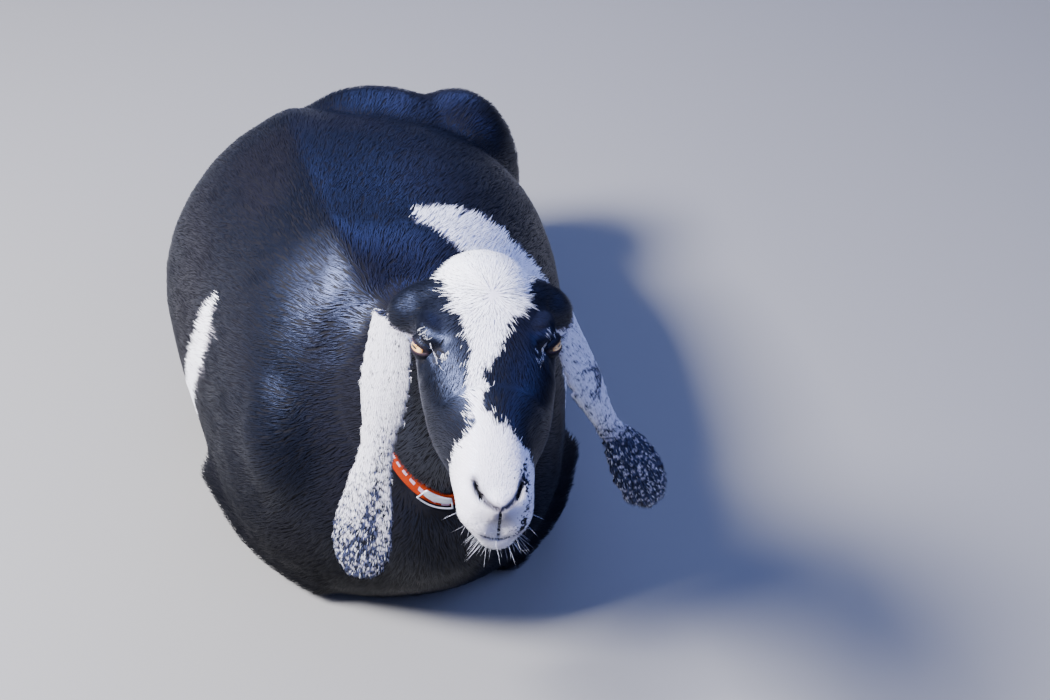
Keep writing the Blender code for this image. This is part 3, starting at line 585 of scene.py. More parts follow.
def ear_flecks(places, side):
    """The share of black hairs on an ear."""
    share, offset, _, _ = ear_frame(places, side)
    if side == "right":
        inner = -offset
        flecks = (0.04 + 0.45 * np.exp(-((inner + 0.10) / 0.24) ** 2) * step_up(share, 0.32, 0.55)
                  + 0.70 * step_up(share, 0.50, 0.85)
                  + 0.35 * step_up(share, 0.80, 0.95) * step_up(np.abs(inner), 0.15, 0.5)
                  + 0.35 * np.exp(-((share - 0.42) / 0.09) ** 2) * step_up(inner, 0.3, 0.8))
    else:
        outer = -offset
        blotch = lattice(places, 0.009, 5) > 0.52
        flecks = (0.14 + 0.75 * blotch * np.exp(-((share - 0.34) / 0.085) ** 2) * step_up(outer, 0.3, -0.4)
                  + 0.55 * step_up(share, 0.44, 0.60) * step_up(outer, -0.55, 0.25)
                  + 1.00 * step_up(share, 0.56, 0.72))
    return np.clip(flecks, 0.0, 0.96), share


def markings(places, ears, wobble):
    """Whiteness, 0 to 1, at each place; ears gives 1 or 2 on an ear."""
    local, body = to_head(places), to_body(places)
    x, forward, z = local[:, 0], -local[:, 1], local[:, 2]
    ragged = (lattice(places, 0.007, 1) - 0.5) * 0.010 + wobble
    blaze_right = np.interp(forward, BLAZE[:, 0], BLAZE[:, 1]) + ragged
    blaze_left = np.interp(forward, BLAZE[:, 0], BLAZE[:, 2]) + ragged
    blaze = ((x > blaze_right) & (x < blaze_left) & (z > -0.050) & (forward < 0.112)
             & (forward > BLAZE[0, 0]))
    muzzle_edge = 0.105 + 0.011 * step_up(x, 0.0, 0.035) + 0.012 * step_up(-z, 0.07, 0.10)
    muzzle = forward + ragged > muzzle_edge
    beside, _ = from_path(local, SPOTTED)
    spots = (0.75 * lattice(places, 0.0017, 2) + 0.25 * lattice(places, 0.0045, 9)
             > 0.44 + 0.30 * step_up(beside, 0.001, 0.009)) & (beside < 0.012)
    on_face = headness(places) > -0.012
    white = on_face & (blaze | (muzzle & ~spots)) & (ears == 0)

    belt_rear = np.interp(body[:, 2], BELT[:, 0], BELT[:, 1])
    belt_front = np.interp(body[:, 2], BELT[:, 0], BELT[:, 2])
    fluffy = (lattice(places, 0.012, 3) - 0.5) * 0.020 + wobble * 2.0
    belt = ((body[:, 1] + fluffy > belt_front) & (body[:, 1] + fluffy < belt_rear)
            & (body[:, 0] + fluffy > BELT_TOP_LEFT) & (belt_rear - belt_front > 0.004))
    stripe_half = 0.019 * step_up(body[:, 2], 0.350, 0.270) + 0.010 * step_up(body[:, 2], 0.20, 0.05)
    stripe_middle = 0.206 + 0.040 * step_up(body[:, 2], 0.270, 0.120)
    stripe = (np.abs(body[:, 1] - stripe_middle + fluffy * 0.5) < stripe_half) & (body[:, 0] < -0.10)
    white |= ~on_face & (belt | stripe) & (ears == 0)

    grain_noise = 0.50 * lattice(places, 0.0019, 4) + 0.50 * chance.random(len(places))
    for number, side in ((1, "right"), (2, "left")):
        here = ears == number
        if here.any():
            flecks, share = ear_flecks(places[here], side)
            ends = 0.030 * (lattice(places[here] * (1.0, 1.0, 0.3), 0.004, 6) - 0.3)
            white[here] = (grain_noise[here] > 0.20 + 0.55 * flecks) & (share > ends)
    return white.astype(float)


ears = np.zeros(len(points), int)
ears[(right_ear < 0.0045) & (right_ear < left_ear)] = 1
ears[(left_ear < 0.0045) & (left_ear <= right_ear)] = 2
HIDE_BLACK, HIDE_WHITE = np.array(linear("#0c0c13")), np.array(linear("#c9c4cf"))
# Painted shade for the nose and mouth, soft and dark; the lids' own dark bare rim
SHADE_SOFT, SHADE_DARK, SHADE_LID = (np.array(linear(tone)) for tone in ("#241d2a", "#0e0a10", "#2c2027"))
hide_white = markings(points, ears, 0.0)


def shaded(colours, soft, dark, lid):
    """Colours turned to painted shade round the nose's grooves and mouth, with the pad's greyish bare skin, to
    painted shade in its slits, and to the lids' dark rims.
    """
    for amount, tone in ((soft, SHADE_SOFT), (dark, SHADE_DARK), (lid, SHADE_LID)):
        colours = colours + (tone - colours) * amount[:, None]
    return colours


hide_colour = HIDE_BLACK + (HIDE_WHITE - HIDE_BLACK) * hide_white[:, None]
# Painted shade in the nose's grooves, slits and mouth, and the lids' dark rims, on the hide
hide_colour = shaded(hide_colour, soft_shade * hide_white, dark_shade, lid_shade)


def colour_points(mesh, name, colours):
    """One colour for each point of the mesh, for its material to read."""
    layer = mesh.color_attributes.new(name, "FLOAT_COLOR", "POINT")
    rgba = np.ones((len(colours), 4), np.float32)
    rgba[:, :3] = colours
    layer.data.foreach_set("color", rgba.ravel())


colour_points(formed, "hide", hide_colour)
hide_material, hide_shader = plain_material("hide_under_coat", "#1a1a20", 0.62)
hide_shader.inputs["Specular IOR Level"].default_value = 0.12
link = hide_material.node_tree.links.new
hide_tint = add_node(hide_material, "ShaderNodeAttribute", attribute_name="hide")
link(hide_tint.outputs["Color"], hide_shader.inputs["Base Color"])
formed.materials.clear()
formed.materials.append(hide_material)
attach(skin, "root")
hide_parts(*FLESH)

# ---------------------------------------------------------------------- coat
# Short glossy hair in fine tufts that overlap and lie along the body, longer on the poll
# and at the edges of the belt, shortest on the muzzle and ears.
formed.calc_loop_triangles()
corners = np.empty(len(formed.loop_triangles) * 3, np.int32)
formed.loop_triangles.foreach_get("vertices", corners)
corners = corners.reshape(-1, 3)
skin_normals = normals_of(formed)
first, second, third = (points[corners[:, k]] for k in range(3))
areas = np.linalg.norm(np.cross(second - first, third - first), axis=1) / 2
middles = (first + second + third) / 3
triangle_ears = ears[corners].max(axis=1) * (ears[corners].min(axis=1) > 0)
NECK_CUT, NECK_CUT_WAY = np.array((0.055, 0.000, 0.372)), np.array((0.12, -0.62, 0.775))


def neckness(places):
    return step_up((to_body(places) - NECK_CUT) @ NECK_CUT_WAY, -0.05, 0.03)


# Tufts on a square metre
BODY_ROOTS, NECK_ROOTS, HEAD_ROOTS, EAR_ROOTS = 100000, 135000, 420000, 620000
head_share = step_up(headness(middles), -0.02, 0.02) * (triangle_ears == 0)
density = BODY_ROOTS + (NECK_ROOTS - BODY_ROOTS) * neckness(middles)
density = density + (HEAD_ROOTS - density) * head_share
eye_reach = np.min([np.linalg.norm(to_head(middles) - middle, axis=1) for middle in EYE_MIDDLES], axis=0)
density *= 1.0 + 1.6 * (1.0 - step_up(eye_reach, 0.028, 0.045))
density[triangle_ears > 0] = EAR_ROOTS
density *= 0.15 + 0.85 * step_up(middles[:, 2], 0.004, 0.030)
density *= 1.0 - bare[corners].mean(axis=1)
density *= np.maximum(step_up(collar_gap[corners].mean(axis=1), 0.0006, 0.0030),
                      to_body(middles)[:, 2] > 0.42)
expected = areas * density
counts = np.floor(expected + chance.random(len(expected))).astype(int)
owner = np.repeat(np.arange(len(counts)), counts)
u, v = chance.random(len(owner)), chance.random(len(owner))
flip = u + v > 1.0
u[flip], v[flip] = 1.0 - u[flip], 1.0 - v[flip]


def over_skin(values):
    """A value or vector of the skin's points, read at every root."""
    a, b, c = (values[corners[owner, k]] for k in range(3))
    if values.ndim == 1:
        return a + (b - a) * u + (c - a) * v
    return a + (b - a) * u[:, None] + (c - a) * v[:, None]


def unit(vectors):
    return vectors / np.maximum(np.linalg.norm(vectors, axis=1), 1e-9)[:, None]


roots = over_skin(points)
normals = unit(over_skin(skin_normals))
root_ears = triangle_ears[owner]
root_head = step_up(headness(roots), -0.02, 0.02) * (root_ears == 0)
root_neck = neckness(roots)
local = to_head(roots)
body = to_body(roots)

# The way the hair lies: back and down over the body, down the neck and chest
spine = np.interp(body[:, 1], (0.0, 0.14, 0.32, 0.49), (0.035, -0.016, -0.050, -0.068))
beside = np.tanh((body[:, 0] - spine) / 0.08)
way = np.stack([0.45 * beside, np.ones(len(roots)), -0.45 - 0.5 * step_up(body[:, 1], 0.08, -0.04)], 1)
neck_way = np.stack([-0.30 + 0.5 * beside, np.full(len(roots), 0.55), np.full(len(roots), -0.80)], 1)
way = way + (neck_way - way) * root_neck[:, None]
# On the face it spreads from a whorl on the forehead, and runs back from the nose
WHORL = np.array((0.006, 0.024))
FACE_SEAM = (0.045, 0.100)          # where the two meet, ahead of the eyes
radial = np.stack([local[:, 0] - WHORL[0], local[:, 1] - WHORL[1], np.zeros(len(roots))], 1)
radial = unit(radial)
backward = unit(np.stack([local[:, 0] * 18.0, np.ones(len(roots)), np.zeros(len(roots))], 1))
seam = step_up(-local[:, 1], *FACE_SEAM)[:, None]
face_way = radial * (1.0 - seam) + backward * seam
cheek = (step_up(np.abs(local[:, 0]), 0.030, 0.055) * step_up(-local[:, 2], -0.010, 0.030))[:, None]
face_way = face_way * (1.0 - cheek) + np.array((0.0, 0.75, -0.65)) * cheek
# and it parts round the eyes
root_lid = over_skin(lid_gap)
for middle, side in zip(EYE_MIDDLES, (-1.0, 1.0)):
    away = local - middle
    gaze = eye_axes(side)[0]
    outward = unit(away - (away @ gaze)[:, None] * gaze)
    parting = 0.9 * (np.linalg.norm(away, axis=1) < 0.03) * (1.0 - step_up(root_lid, 0.004, 0.014))
    face_way = face_way + (outward - face_way) * parting[:, None]
way = way + (face_way @ TURN.T - way) * root_head[:, None]
# Down the ears, parting from their middle line
for number, side in ((1, "right"), (2, "left")):
    here = root_ears == number
    _, offset, along, level_way = ear_frame(roots[here], side)
    way[here] = along + level_way * (0.35 * offset)[:, None]
swirl = np.stack([lattice(roots, 0.016, 11 + k) + 0.5 * lattice(roots, 0.005, 21 + k) for k in range(3)], 1) - 0.75
way = unit(way) + swirl * 0.45 + chance.normal(0.0, 0.07, (len(roots), 3))
lie = unit(way - normals * np.sum(way * normals, axis=1)[:, None])

# White hairs in a line ahead of each eye, and scattered over each brow
TEAR_STREAKS = on_both_sides(curve((0.056, -0.016, 0.014), (0.049, -0.026, 0.008), (0.042, -0.044, 0.006)))
BROWS = on_both_sides(curve((0.040, -0.029, 0.015), (0.051, -0.016, 0.021), (0.060, 0.000, 0.020)))
BROW_HALF = 0.0065
# Lengths, widths and how far the tips stand off the hide
forward = -local[:, 1]
poll = root_head * step_up(forward, 0.010, -0.020) * step_up(local[:, 2], 0.005, 0.030)
muzzle = root_head * step_up(forward, 0.090, 0.128)
length = 0.019 + (0.017 - 0.019) * root_neck
length = length + (0.0085 - length) * root_head
length = length + (0.0115 - 0.0085) * poll + (0.0040 - 0.0085) * muzzle
root_eye = np.min([np.linalg.norm(local - middle, axis=1) for middle in EYE_MIDDLES], axis=0)
length *= 0.66 + 0.34 * step_up(root_eye, 0.024, 0.042)
length[root_ears > 0] = 0.0052
length *= 0.80 + 0.45 * chance.random(len(roots))
length *= 0.45 + 0.55 * step_up(root_lid, 0.002, 0.012)
nape = step_up(body[:, 2], 0.40, 0.46) * (over_skin(collar_gap) < 0.029)
length *= np.maximum(0.22 + 0.78 * step_up(over_skin(collar_gap), 0.001, 0.018), nape)
ragged_edge = chance.normal(0.0, 0.0016 + 0.0012 * root_head)
white = markings(roots + lie * (0.6 * length)[:, None], root_ears, ragged_edge)
brows = np.minimum(*(from_path(local, brow)[0] for brow in BROWS.values()))
white[(brows < BROW_HALF) & (lattice(roots, 0.0018, 8) > 0.66) & (chance.random(len(roots)) < 0.5)] = 1.0
length *= 1.0 + 0.25 * white * (root_head == 0) * (root_ears == 0)
width = length * 0.038 + 0.00017
lift = length * (0.045 + 0.035 * lattice(roots, 0.008, 31)) + 0.0004
lift *= 1.0 + 0.7 * poll
lift += 0.0045 * nape
lift[root_ears > 0] *= 0.8
lift *= 0.25 + 0.75 * step_up(roots[:, 2], 0.004, 0.030)

HAIR_BLACK, HAIR_WHITE = np.array(linear("#06070d")), np.array(linear("#f1f1f7"))
HAIR_BROWN = np.array(linear("#120f12"))
shade = 0.70 + 0.60 * chance.random(len(roots))
brown = (0.5 * step_up(lattice(roots, 0.09, 41), 0.45, 0.8))[:, None]
black_colour = (HAIR_BLACK + (HAIR_BROWN - HAIR_BLACK) * brown) * shade[:, None]
white_colour = HAIR_WHITE * (0.88 + 0.12 * chance.random(len(roots)))[:, None]
# The same painted shade of the nose and mouth, and the lids' dark rims, on the hairs there
root_tones = [over_skin(values) for values in (soft_shade, dark_shade, lid_shade)]
tones = (root_tones[0] * white, root_tones[1] * 0.8, root_tones[2] * 0.7 * (1.0 - white))
# On the ears many black hairs are grey
greyed = (root_ears > 0) * (chance.random(len(roots)) < 0.45)
black_colour = black_colour + (np.array(linear("#474d6c")) * shade[:, None] - black_colour) * greyed[:, None]
tip_colour = shaded(np.where(white[:, None] > 0.5, white_colour, black_colour * 1.3), *tones)
root_colour = shaded(np.where(white[:, None] > 0.5, white_colour * 0.86, black_colour * 0.8), *tones)

coat_material, coat_shader = plain_material("short_glossy_hair", "#15151a", 0.40)
# The gloss is tinted blue, a painted reflection of a blue sky
coat_shader.inputs["Specular Tint"].default_value = (0.42, 0.53, 1.0, 1.0)
link = coat_material.node_tree.links.new
coat_tint = add_node(coat_material, "ShaderNodeAttribute", attribute_name="hair")
link(coat_tint.outputs["Color"], coat_shader.inputs["Base Color"])
# The coat is glossy above and dull below: its gloss is turned down towards the floor, a painted shade for her
# shadowed underside
coat_place = add_node(coat_material, "ShaderNodeTexCoord")
coat_height = add_node(coat_material, "ShaderNodeSeparateXYZ")
gloss_dimmed_below = add_node(coat_material, "ShaderNodeMapRange")
for socket, value in (("From Min", 0.10), ("From Max", 0.38), ("To Min", 0.05), ("To Max", 0.52)):
    gloss_dimmed_below.inputs[socket].default_value = value
link(coat_place.outputs["Object"], coat_height.inputs[0])
link(coat_height.outputs["Z"], gloss_dimmed_below.inputs["Value"])
link(gloss_dimmed_below.outputs["Result"], coat_shader.inputs["Specular IOR Level"])

TUFT_FACES = np.array(((0, 2, 1), (0, 3, 2), (0, 1, 3), (1, 2, 4), (2, 3, 4), (3, 1, 4)))
PATCH = 0.003                   # width of a tuft's patch on the unwrapped skin
TUFT_PATCH = np.array(((0.5, 0.0), (0.0, 0.5), (0.5, 0.6), (1.0, 0.5), (0.5, 1.0))) * PATCH
TUFTS_IN_PIECE = 32000
SIDE_TILT = 0.25                # how far a tuft's sides turn from the hide's own facing


def tufts(name, roots, normals, lie, length, width, lift, root_colour, tip_colour, spot):
    """A piece of coat: a flat pointed lock from each root, made as one joined mesh."""
    count = len(roots)
    side = np.cross(lie, normals)
    middle = roots + lie * (length * 0.40)[:, None] + normals * (lift * 0.75)[:, None]
    tip = roots + lie * length[:, None] + normals * lift[:, None]
    half = side * (width / 2)[:, None]
    thick = normals * (width * 0.35)[:, None]
    shape = np.stack([roots - normals * 0.0006, middle - half, middle + thick, middle + half, tip], 1)
    shape[:, :, 2] = np.maximum(shape[:, :, 2], 0.0004)
    faces = (np.arange(count)[:, None, None] * 5 + TUFT_FACES[None]).reshape(-1, 3)
    mesh = bpy.data.meshes.new(name)
    mesh.vertices.add(count * 5)
    mesh.vertices.foreach_set("co", shape.reshape(-1).astype(np.float32))
    mesh.loops.add(len(faces) * 3)
    mesh.loops.foreach_set("vertex_index", faces.ravel().astype(np.int32))
    mesh.polygons.add(len(faces))
    mesh.polygons.foreach_set("loop_start", np.arange(0, len(faces) * 3, 3, dtype=np.int32))
    mesh.update(calc_edges=True)
    mesh.shade_smooth()
    tilt = side * (SIDE_TILT * (0.55 + 0.45 * (tip_colour[:, 1:2] < 0.2)))
    facing = np.stack([normals, normals - tilt, normals, normals + tilt, normals + lie * 0.2], 1)
    mesh.normals_split_custom_set_from_vertices(unit(facing.reshape(-1, 3)).tolist())
    colours = np.stack([root_colour, (root_colour + tip_colour) / 2, (root_colour + tip_colour) / 2,
                        (root_colour + tip_colour) / 2, tip_colour], 1)
    colour_points(mesh, "hair", colours.reshape(-1, 3))
    patches = (spot[:, None, :] + TUFT_PATCH[None]).reshape(-1, 2)
    layer = mesh.uv_layers.new(name="OFBake")
    layer.data.foreach_set("uv", patches[faces.ravel()].astype(np.float32).ravel())
    mesh.materials.append(coat_material)
    piece = bpy.data.objects.new(name, mesh)
    bpy.context.scene.collection.objects.link(piece)
    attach(piece, "root")
    return piece


def around(across, up):
    """The turn about a line, as 0 to 1."""
    return np.arctan2(across, up) / (2.0 * np.pi) + 0.5


def fill_square(rows):
    """Shifts and scales places on an unwrap to the unit square, clear of its rim."""
    low, high = rows.min(axis=0), rows.max(axis=0)
    return 0.005 + (rows - low) / (high - low) * (0.99 - PATCH)


# Each stretch of coat is unrolled from the skin round its own middle line
in_head = (root_head > 0.5) & (root_ears == 0)
stretches = {
    "coat_body": (~in_head & (root_ears == 0), body[:, 0] - spine, body[:, 2] - 0.20, body[:, 1], "coat"),
    "coat_head": (in_head, local[:, 0], local[:, 2] + 0.04, local[:, 1], "coat"),
    "coat_ear_right": (root_ears == 1, body[:, 1] + 0.12, body[:, 0] - 0.005, body[:, 2], "ear_coat"),
    "coat_ear_left": (root_ears == 2, body[:, 1] + 0.11, body[:, 0] - 0.235, body[:, 2], "ear_coat"),
}
for name, (chosen, across, up, along, slot) in stretches.items():
    unwrap = np.stack([around(across, up), along], 1)
    order = np.flatnonzero(chosen)
    order = order[np.argsort(along[order], kind="stable")]
    pieces = max(1, math.ceil(len(order) / TUFTS_IN_PIECE))
    for number, part in enumerate(np.array_split(order, pieces)):
        tufts(f"{name}_{number + 1}", roots[part], normals[part], lie[part], length[part], width[part],
              lift[part], root_colour[part], tip_colour[part], fill_square(unwrap[part]))
    print(name, len(order))

# ------------------------------------------------------- lashes and whiskers
# Single long hairs: a row of lashes on each upper lid, and stiff white whiskers on the lips
# and chin.
STRAND_FACES = [(0, 2, 1)]
for ring in (0, 3):
    for index in range(3):
        after = (index + 1) % 3
        STRAND_FACES += [(ring + index, ring + after, ring + 3 + after), (ring + index, ring + 3 + after, ring + 3 + index)]
STRAND_FACES += [(6, 7, 9), (7, 8, 9), (8, 6, 9)]
STRAND_FACES = np.array(STRAND_FACES)


def strands(name, roots, ways, sags, length, width, colours):
    """A piece of long hairs, each bent by its sag, with three sides and a pointed tip."""
    count = len(roots)
    side = unit(np.cross(ways, np.where(np.abs(ways[:, 2:3]) > 0.8, (1.0, 0.0, 0.0), (0.0, 0.0, 1.0))))
    over = unit(np.cross(side, ways))
    rows = []
    for share, thick in ((0.0, 1.0), (0.35, 0.9), (0.72, 0.6)):
        middle = roots + (ways * share + sags * share ** 2) * length[:, None]
        for turn in (0.0, 120.0, 240.0):
            angle = math.radians(turn)
            rows.append(middle + (side * math.cos(angle) + over * math.sin(angle)) * (width * thick / 2)[:, None])
    rows.append(roots + (ways + sags) * length[:, None])
    shape = np.stack(rows, 1)
    faces = (np.arange(count)[:, None, None] * 10 + STRAND_FACES[None]).reshape(-1, 3)
    mesh = bpy.data.meshes.new(name)
    mesh.from_pydata(shape.reshape(-1, 3).tolist(), [], faces.tolist())
    mesh.shade_smooth()
    colour_points(mesh, "hair", np.repeat(colours, 10, axis=0))
    spots = np.stack([(np.arange(count) % 16) * 0.06 + 0.02, (np.arange(count) // 16) * 0.06 + 0.02], 1)
    corner_spots = np.array([(0.0, 0.0), (0.5, 0.0), (1.0, 0.0)] * 3 + [(0.5, 1.0)]) * PATCH
    corner_spots[:, 1] += np.repeat((0.0, 0.3, 0.6, 0.0), (3, 3, 3, 1)) * PATCH
    layer = mesh.uv_layers.new(name="OFBake")
    patches = (spots[:, None, :] + corner_spots[None]).reshape(-1, 2)
    layer.data.foreach_set("uv", patches[faces.ravel()].astype(np.float32).ravel())
    mesh.materials.append(coat_material)
    piece = bpy.data.objects.new(name, mesh)
    bpy.context.scene.collection.objects.link(piece)
    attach(piece, "root")


LASHES = 30
for label, middle, side in zip(("right", "left"), EYE_MIDDLES, (-1.0, 1.0)):
    gaze, ahead_way, up_way = eye_axes(side)
    turn = np.linspace(-0.88 * OPEN_BACK, 0.80 * OPEN_AHEAD, LASHES)
    turn += chance.normal(0.0, 0.012, LASHES)
    corner = np.where(turn > 0.0, OPEN_AHEAD, OPEN_BACK)
    rise = OPEN_UP * (1.0 - (turn / corner) ** 2) ** 0.75 + 0.09 + 0.03 * chance.random(LASHES)
    out = (np.cos(turn) * np.cos(rise))[:, None] * gaze + (np.sin(turn) * np.cos(rise))[:, None] * ahead_way
    out = out + np.sin(rise)[:, None] * up_way
    roots_here = from_head(middle + out * (EYE_BALL + 0.0009))
    ways_here = unit(out + up_way * 0.25 - np.array((0.0, 0.0, 0.35)) + chance.normal(0.0, 0.08, (LASHES, 3)))
    pale = (side < 0) * (turn < 0.25)
    tint = np.where(pale[:, None], np.array(linear("#b9bcd6")), np.array(linear("#0a090c")))
    strands(f"lashes_{label}", roots_here, ways_here @ TURN.T, np.tile(up_way * 0.28, (LASHES, 1)) @ TURN.T,
            0.0075 + 0.0030 * chance.random(LASHES), np.full(LASHES, 0.00030), tint)

skin_tree = BVHTree.FromPolygons([tuple(point) for point in points],
                                 [tuple(face.vertices) for face in formed.polygons])
STREAK_HAIRS = 24
for label, streak in zip(("right", "left"), TEAR_STREAKS.values()):
    line = from_head(path_points(on_skin(streak)))
    place = chance.integers(0, len(line) - 8, STREAK_HAIRS)
    ways_here = unit(line[place + 8] - line[place]) + chance.normal(0.0, 0.10, (STREAK_HAIRS, 3))
    rise = unit(np.array([tuple(skin_tree.find_nearest(Vector(spot))[1]) for spot in line[place]]))
    roots_here = line[place] + chance.normal(0.0, 0.00035, (STREAK_HAIRS, 3)) + rise * 0.0003
    strands(f"tear_streak_{label}", roots_here, ways_here, rise * 0.16, np.full(STREAK_HAIRS, 0.0062),
            np.full(STREAK_HAIRS, 0.00020), np.tile(linear("#e4e4ee"), (STREAK_HAIRS, 1)))

WHISKERS = 50
turn = chance.uniform(-0.5 * np.pi - 0.9, -0.5 * np.pi + 0.9, WHISKERS)
turn[:20] = chance.uniform(-1.0 * np.pi - 0.1, 0.1, 20)
spread = chance.uniform(0.55, 1.0, WHISKERS)
starts = np.stack([0.036 * np.cos(turn) * spread, chance.uniform(-0.158, -0.138, WHISKERS),
                   -0.070 + 0.034 * np.sin(turn) * spread], 1)
starts = from_head(starts)
whisker_roots = np.array([tuple(skin_tree.find_nearest(Vector(start))[0]) for start in starts])
whisker_ways = np.array([tuple(skin_tree.find_nearest(Vector(start))[1]) for start in starts])
whisker_ways = unit(whisker_ways + np.array((0.0, -0.15, -0.25)) @ TURN.T + chance.normal(0.0, 0.20, (WHISKERS, 3)))
whisker_sags = np.tile((0.0, 0.0, -0.10), (WHISKERS, 1)) + chance.normal(0.0, 0.05, (WHISKERS, 3))
strands("whiskers", whisker_roots, whisker_ways, whisker_sags, chance.uniform(0.008, 0.021, WHISKERS),
        np.full(WHISKERS, 0.00015), np.tile(linear("#e8e9f4"), (WHISKERS, 1)))

# ---------------------------------------------------------------------- eyes
# Wet eyeballs with a slight swell at the front.  The iris is amber with fine spokes and a dark
# rim, and its pupil is a level slot; the rest of the ball that the lids show is dark.
IRIS_HALF, PUPIL_LONG, PUPIL_TALL = math.radians(42.0), math.radians(16.0), math.radians(4.5)
CORNEA_SWELL = 0.0006

eye_material, eye_shader = plain_material("wet_amber_eye", "#c08a45", 0.08, Coat_Weight=1.0, Coat_Roughness=0.02)
link = eye_material.node_tree.links.new
eye_map = add_node(eye_material, "ShaderNodeUVMap", uv_map="gaze")
centred = add_node(eye_material, "ShaderNodeVectorMath", operation="SUBTRACT")
centred.inputs[1].default_value = (0.5, 0.5, 0.0)
turned = add_node(eye_material, "ShaderNodeVectorMath", operation="SCALE", Scale=2.0 * math.pi)
reach = add_node(eye_material, "ShaderNodeVectorMath", operation="LENGTH")
heading = add_node(eye_material, "ShaderNodeVectorMath", operation="NORMALIZE")
spokes = add_node(eye_material, "ShaderNodeTexNoise", Scale=11.0, Detail=5.0, Roughness=0.7)
shifted = add_node(eye_material, "ShaderNodeMath", operation="MULTIPLY_ADD")
shifted.inputs[1].default_value = 0.30
scaled = add_node(eye_material, "ShaderNodeMath", operation="MULTIPLY")
scaled.inputs[1].default_value = 1.0 / (IRIS_HALF * 1.2)
ramp = add_node(eye_material, "ShaderNodeValToRGB")
ramp.color_ramp.elements[0].color = (*linear("#8a5a22"), 1.0)
ramp.color_ramp.elements[1].color = (*linear("#150d0b"), 1.0)
for place, tone in ((0.30, "#c9934c"), (0.70, "#e8bd80"), (0.90, "#b9803f"), (0.97, "#2a1811")):
    ramp.color_ramp.elements.new(place).color = (*linear(tone), 1.0)
link(eye_map.outputs["UV"], centred.inputs[0])
link(centred.outputs[0], turned.inputs[0])
link(turned.outputs[0], reach.inputs[0])
link(turned.outputs[0], heading.inputs[0])
link(heading.outputs[0], spokes.inputs["Vector"])
link(reach.outputs["Value"], scaled.inputs[0])
link(spokes.outputs["Fac"], shifted.inputs[0])
link(scaled.outputs[0], shifted.inputs[2])
split = add_node(eye_material, "ShaderNodeSeparateXYZ")
link(turned.outputs[0], split.inputs[0])
slot_terms = []
for axis, half in (("X", PUPIL_LONG), ("Y", PUPIL_TALL)):
    part = add_node(eye_material, "ShaderNodeMath", operation="DIVIDE")
    part.inputs[1].default_value = half
    size = add_node(eye_material, "ShaderNodeMath", operation="ABSOLUTE")
    power = add_node(eye_material, "ShaderNodeMath", operation="POWER")
    power.inputs[1].default_value = 3.0
    link(split.outputs[axis], part.inputs[0])
    link(part.outputs[0], size.inputs[0])
    link(size.outputs[0], power.inputs[0])
    slot_terms.append(power)
summed = add_node(eye_material, "ShaderNodeMath", operation="ADD")
link(slot_terms[0].outputs[0], summed.inputs[0])
link(slot_terms[1].outputs[0], summed.inputs[1])
slot_edge = add_node(eye_material, "ShaderNodeMapRange")
for socket, value in (("From Min", 0.75), ("From Max", 1.25)):
    slot_edge.inputs[socket].default_value = value
link(summed.outputs[0], slot_edge.inputs["Value"])
pupil_mix = add_node(eye_material, "ShaderNodeMix", data_type="RGBA")
colour_sockets = [socket for socket in pupil_mix.inputs if socket.type == "RGBA"]
colour_sockets[0].default_value = (0.004, 0.004, 0.006, 1.0)
link(shifted.outputs[0], ramp.inputs["Fac"])
link(slot_edge.outputs["Result"], pupil_mix.inputs["Factor"])
link(ramp.outputs["Color"], colour_sockets[1])
link(next(out for out in pupil_mix.outputs if out.type == "RGBA"), eye_shader.inputs["Base Color"])

for node, middle, side in zip(EYE_NODES, EYE_MIDDLES, (-1.0, 1.0)):
    gaze, ahead_way, up_way = eye_axes(side)
    bm = bmesh.new()
    bmesh.ops.create_uvsphere(bm, u_segments=72, v_segments=48, radius=EYE_BALL)
    layer = bm.loops.layers.uv.new("gaze")
    for face in bm.faces:
        for loop in face.loops:
            x, y, z = loop.vert.co
            angle = math.acos(max(-1.0, min(1.0, z / EYE_BALL)))
            share = angle / (2.0 * math.pi) / max(math.hypot(x, y), 1e-9)
            loop[layer].uv = (0.5 + x * share, 0.5 + y * share)
    for vert in bm.verts:
        swelling = 1.0 + CORNEA_SWELL / EYE_BALL * float(step_up(vert.co.z / EYE_BALL, 0.60, 1.0))
        x, y, z = vert.co * swelling
        vert.co = from_head([middle + ahead_way * x + up_way * y + gaze * z])[0]
    bmesh.ops.recalc_face_normals(bm, faces=bm.faces[:])
    mesh = bpy.data.meshes.new(f"{node}_ball")
    bm.to_mesh(mesh)
    bm.free()
    mesh.shade_smooth()
    mesh.materials.append(eye_material)
    ball = bpy.data.objects.new(f"{node}_ball", mesh)
    bpy.context.scene.collection.objects.link(ball)
    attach(ball, "root")
    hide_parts(node)

# -------------------------------------------------------------------- collar
# A flat woven nylon strap, orange, with a row of pale stitched dashes down its middle.
# It lies pressed into the coat round the lower neck; a metal slide joins its ends.
COLLAR_FACING = Vector((0.11, -0.925, 0.380)).normalized()      # square to the loop
RIB, DASHES_ROUND, DASH_HALF, STRAP_HALF = 0.0011, 52.0, 0.0015, 0.0095


def math_node(material, operation, first, second=0.0):
    """One Math node; each of its two values is a number or another node's output."""
    node = add_node(material, "ShaderNodeMath", operation=operation)
    for socket, value in zip(node.inputs, (first, second)):
        if isinstance(value, bpy.types.NodeSocket):
            material.node_tree.links.new(value, socket)
        else:
            socket.default_value = value
    return node.outputs[0]


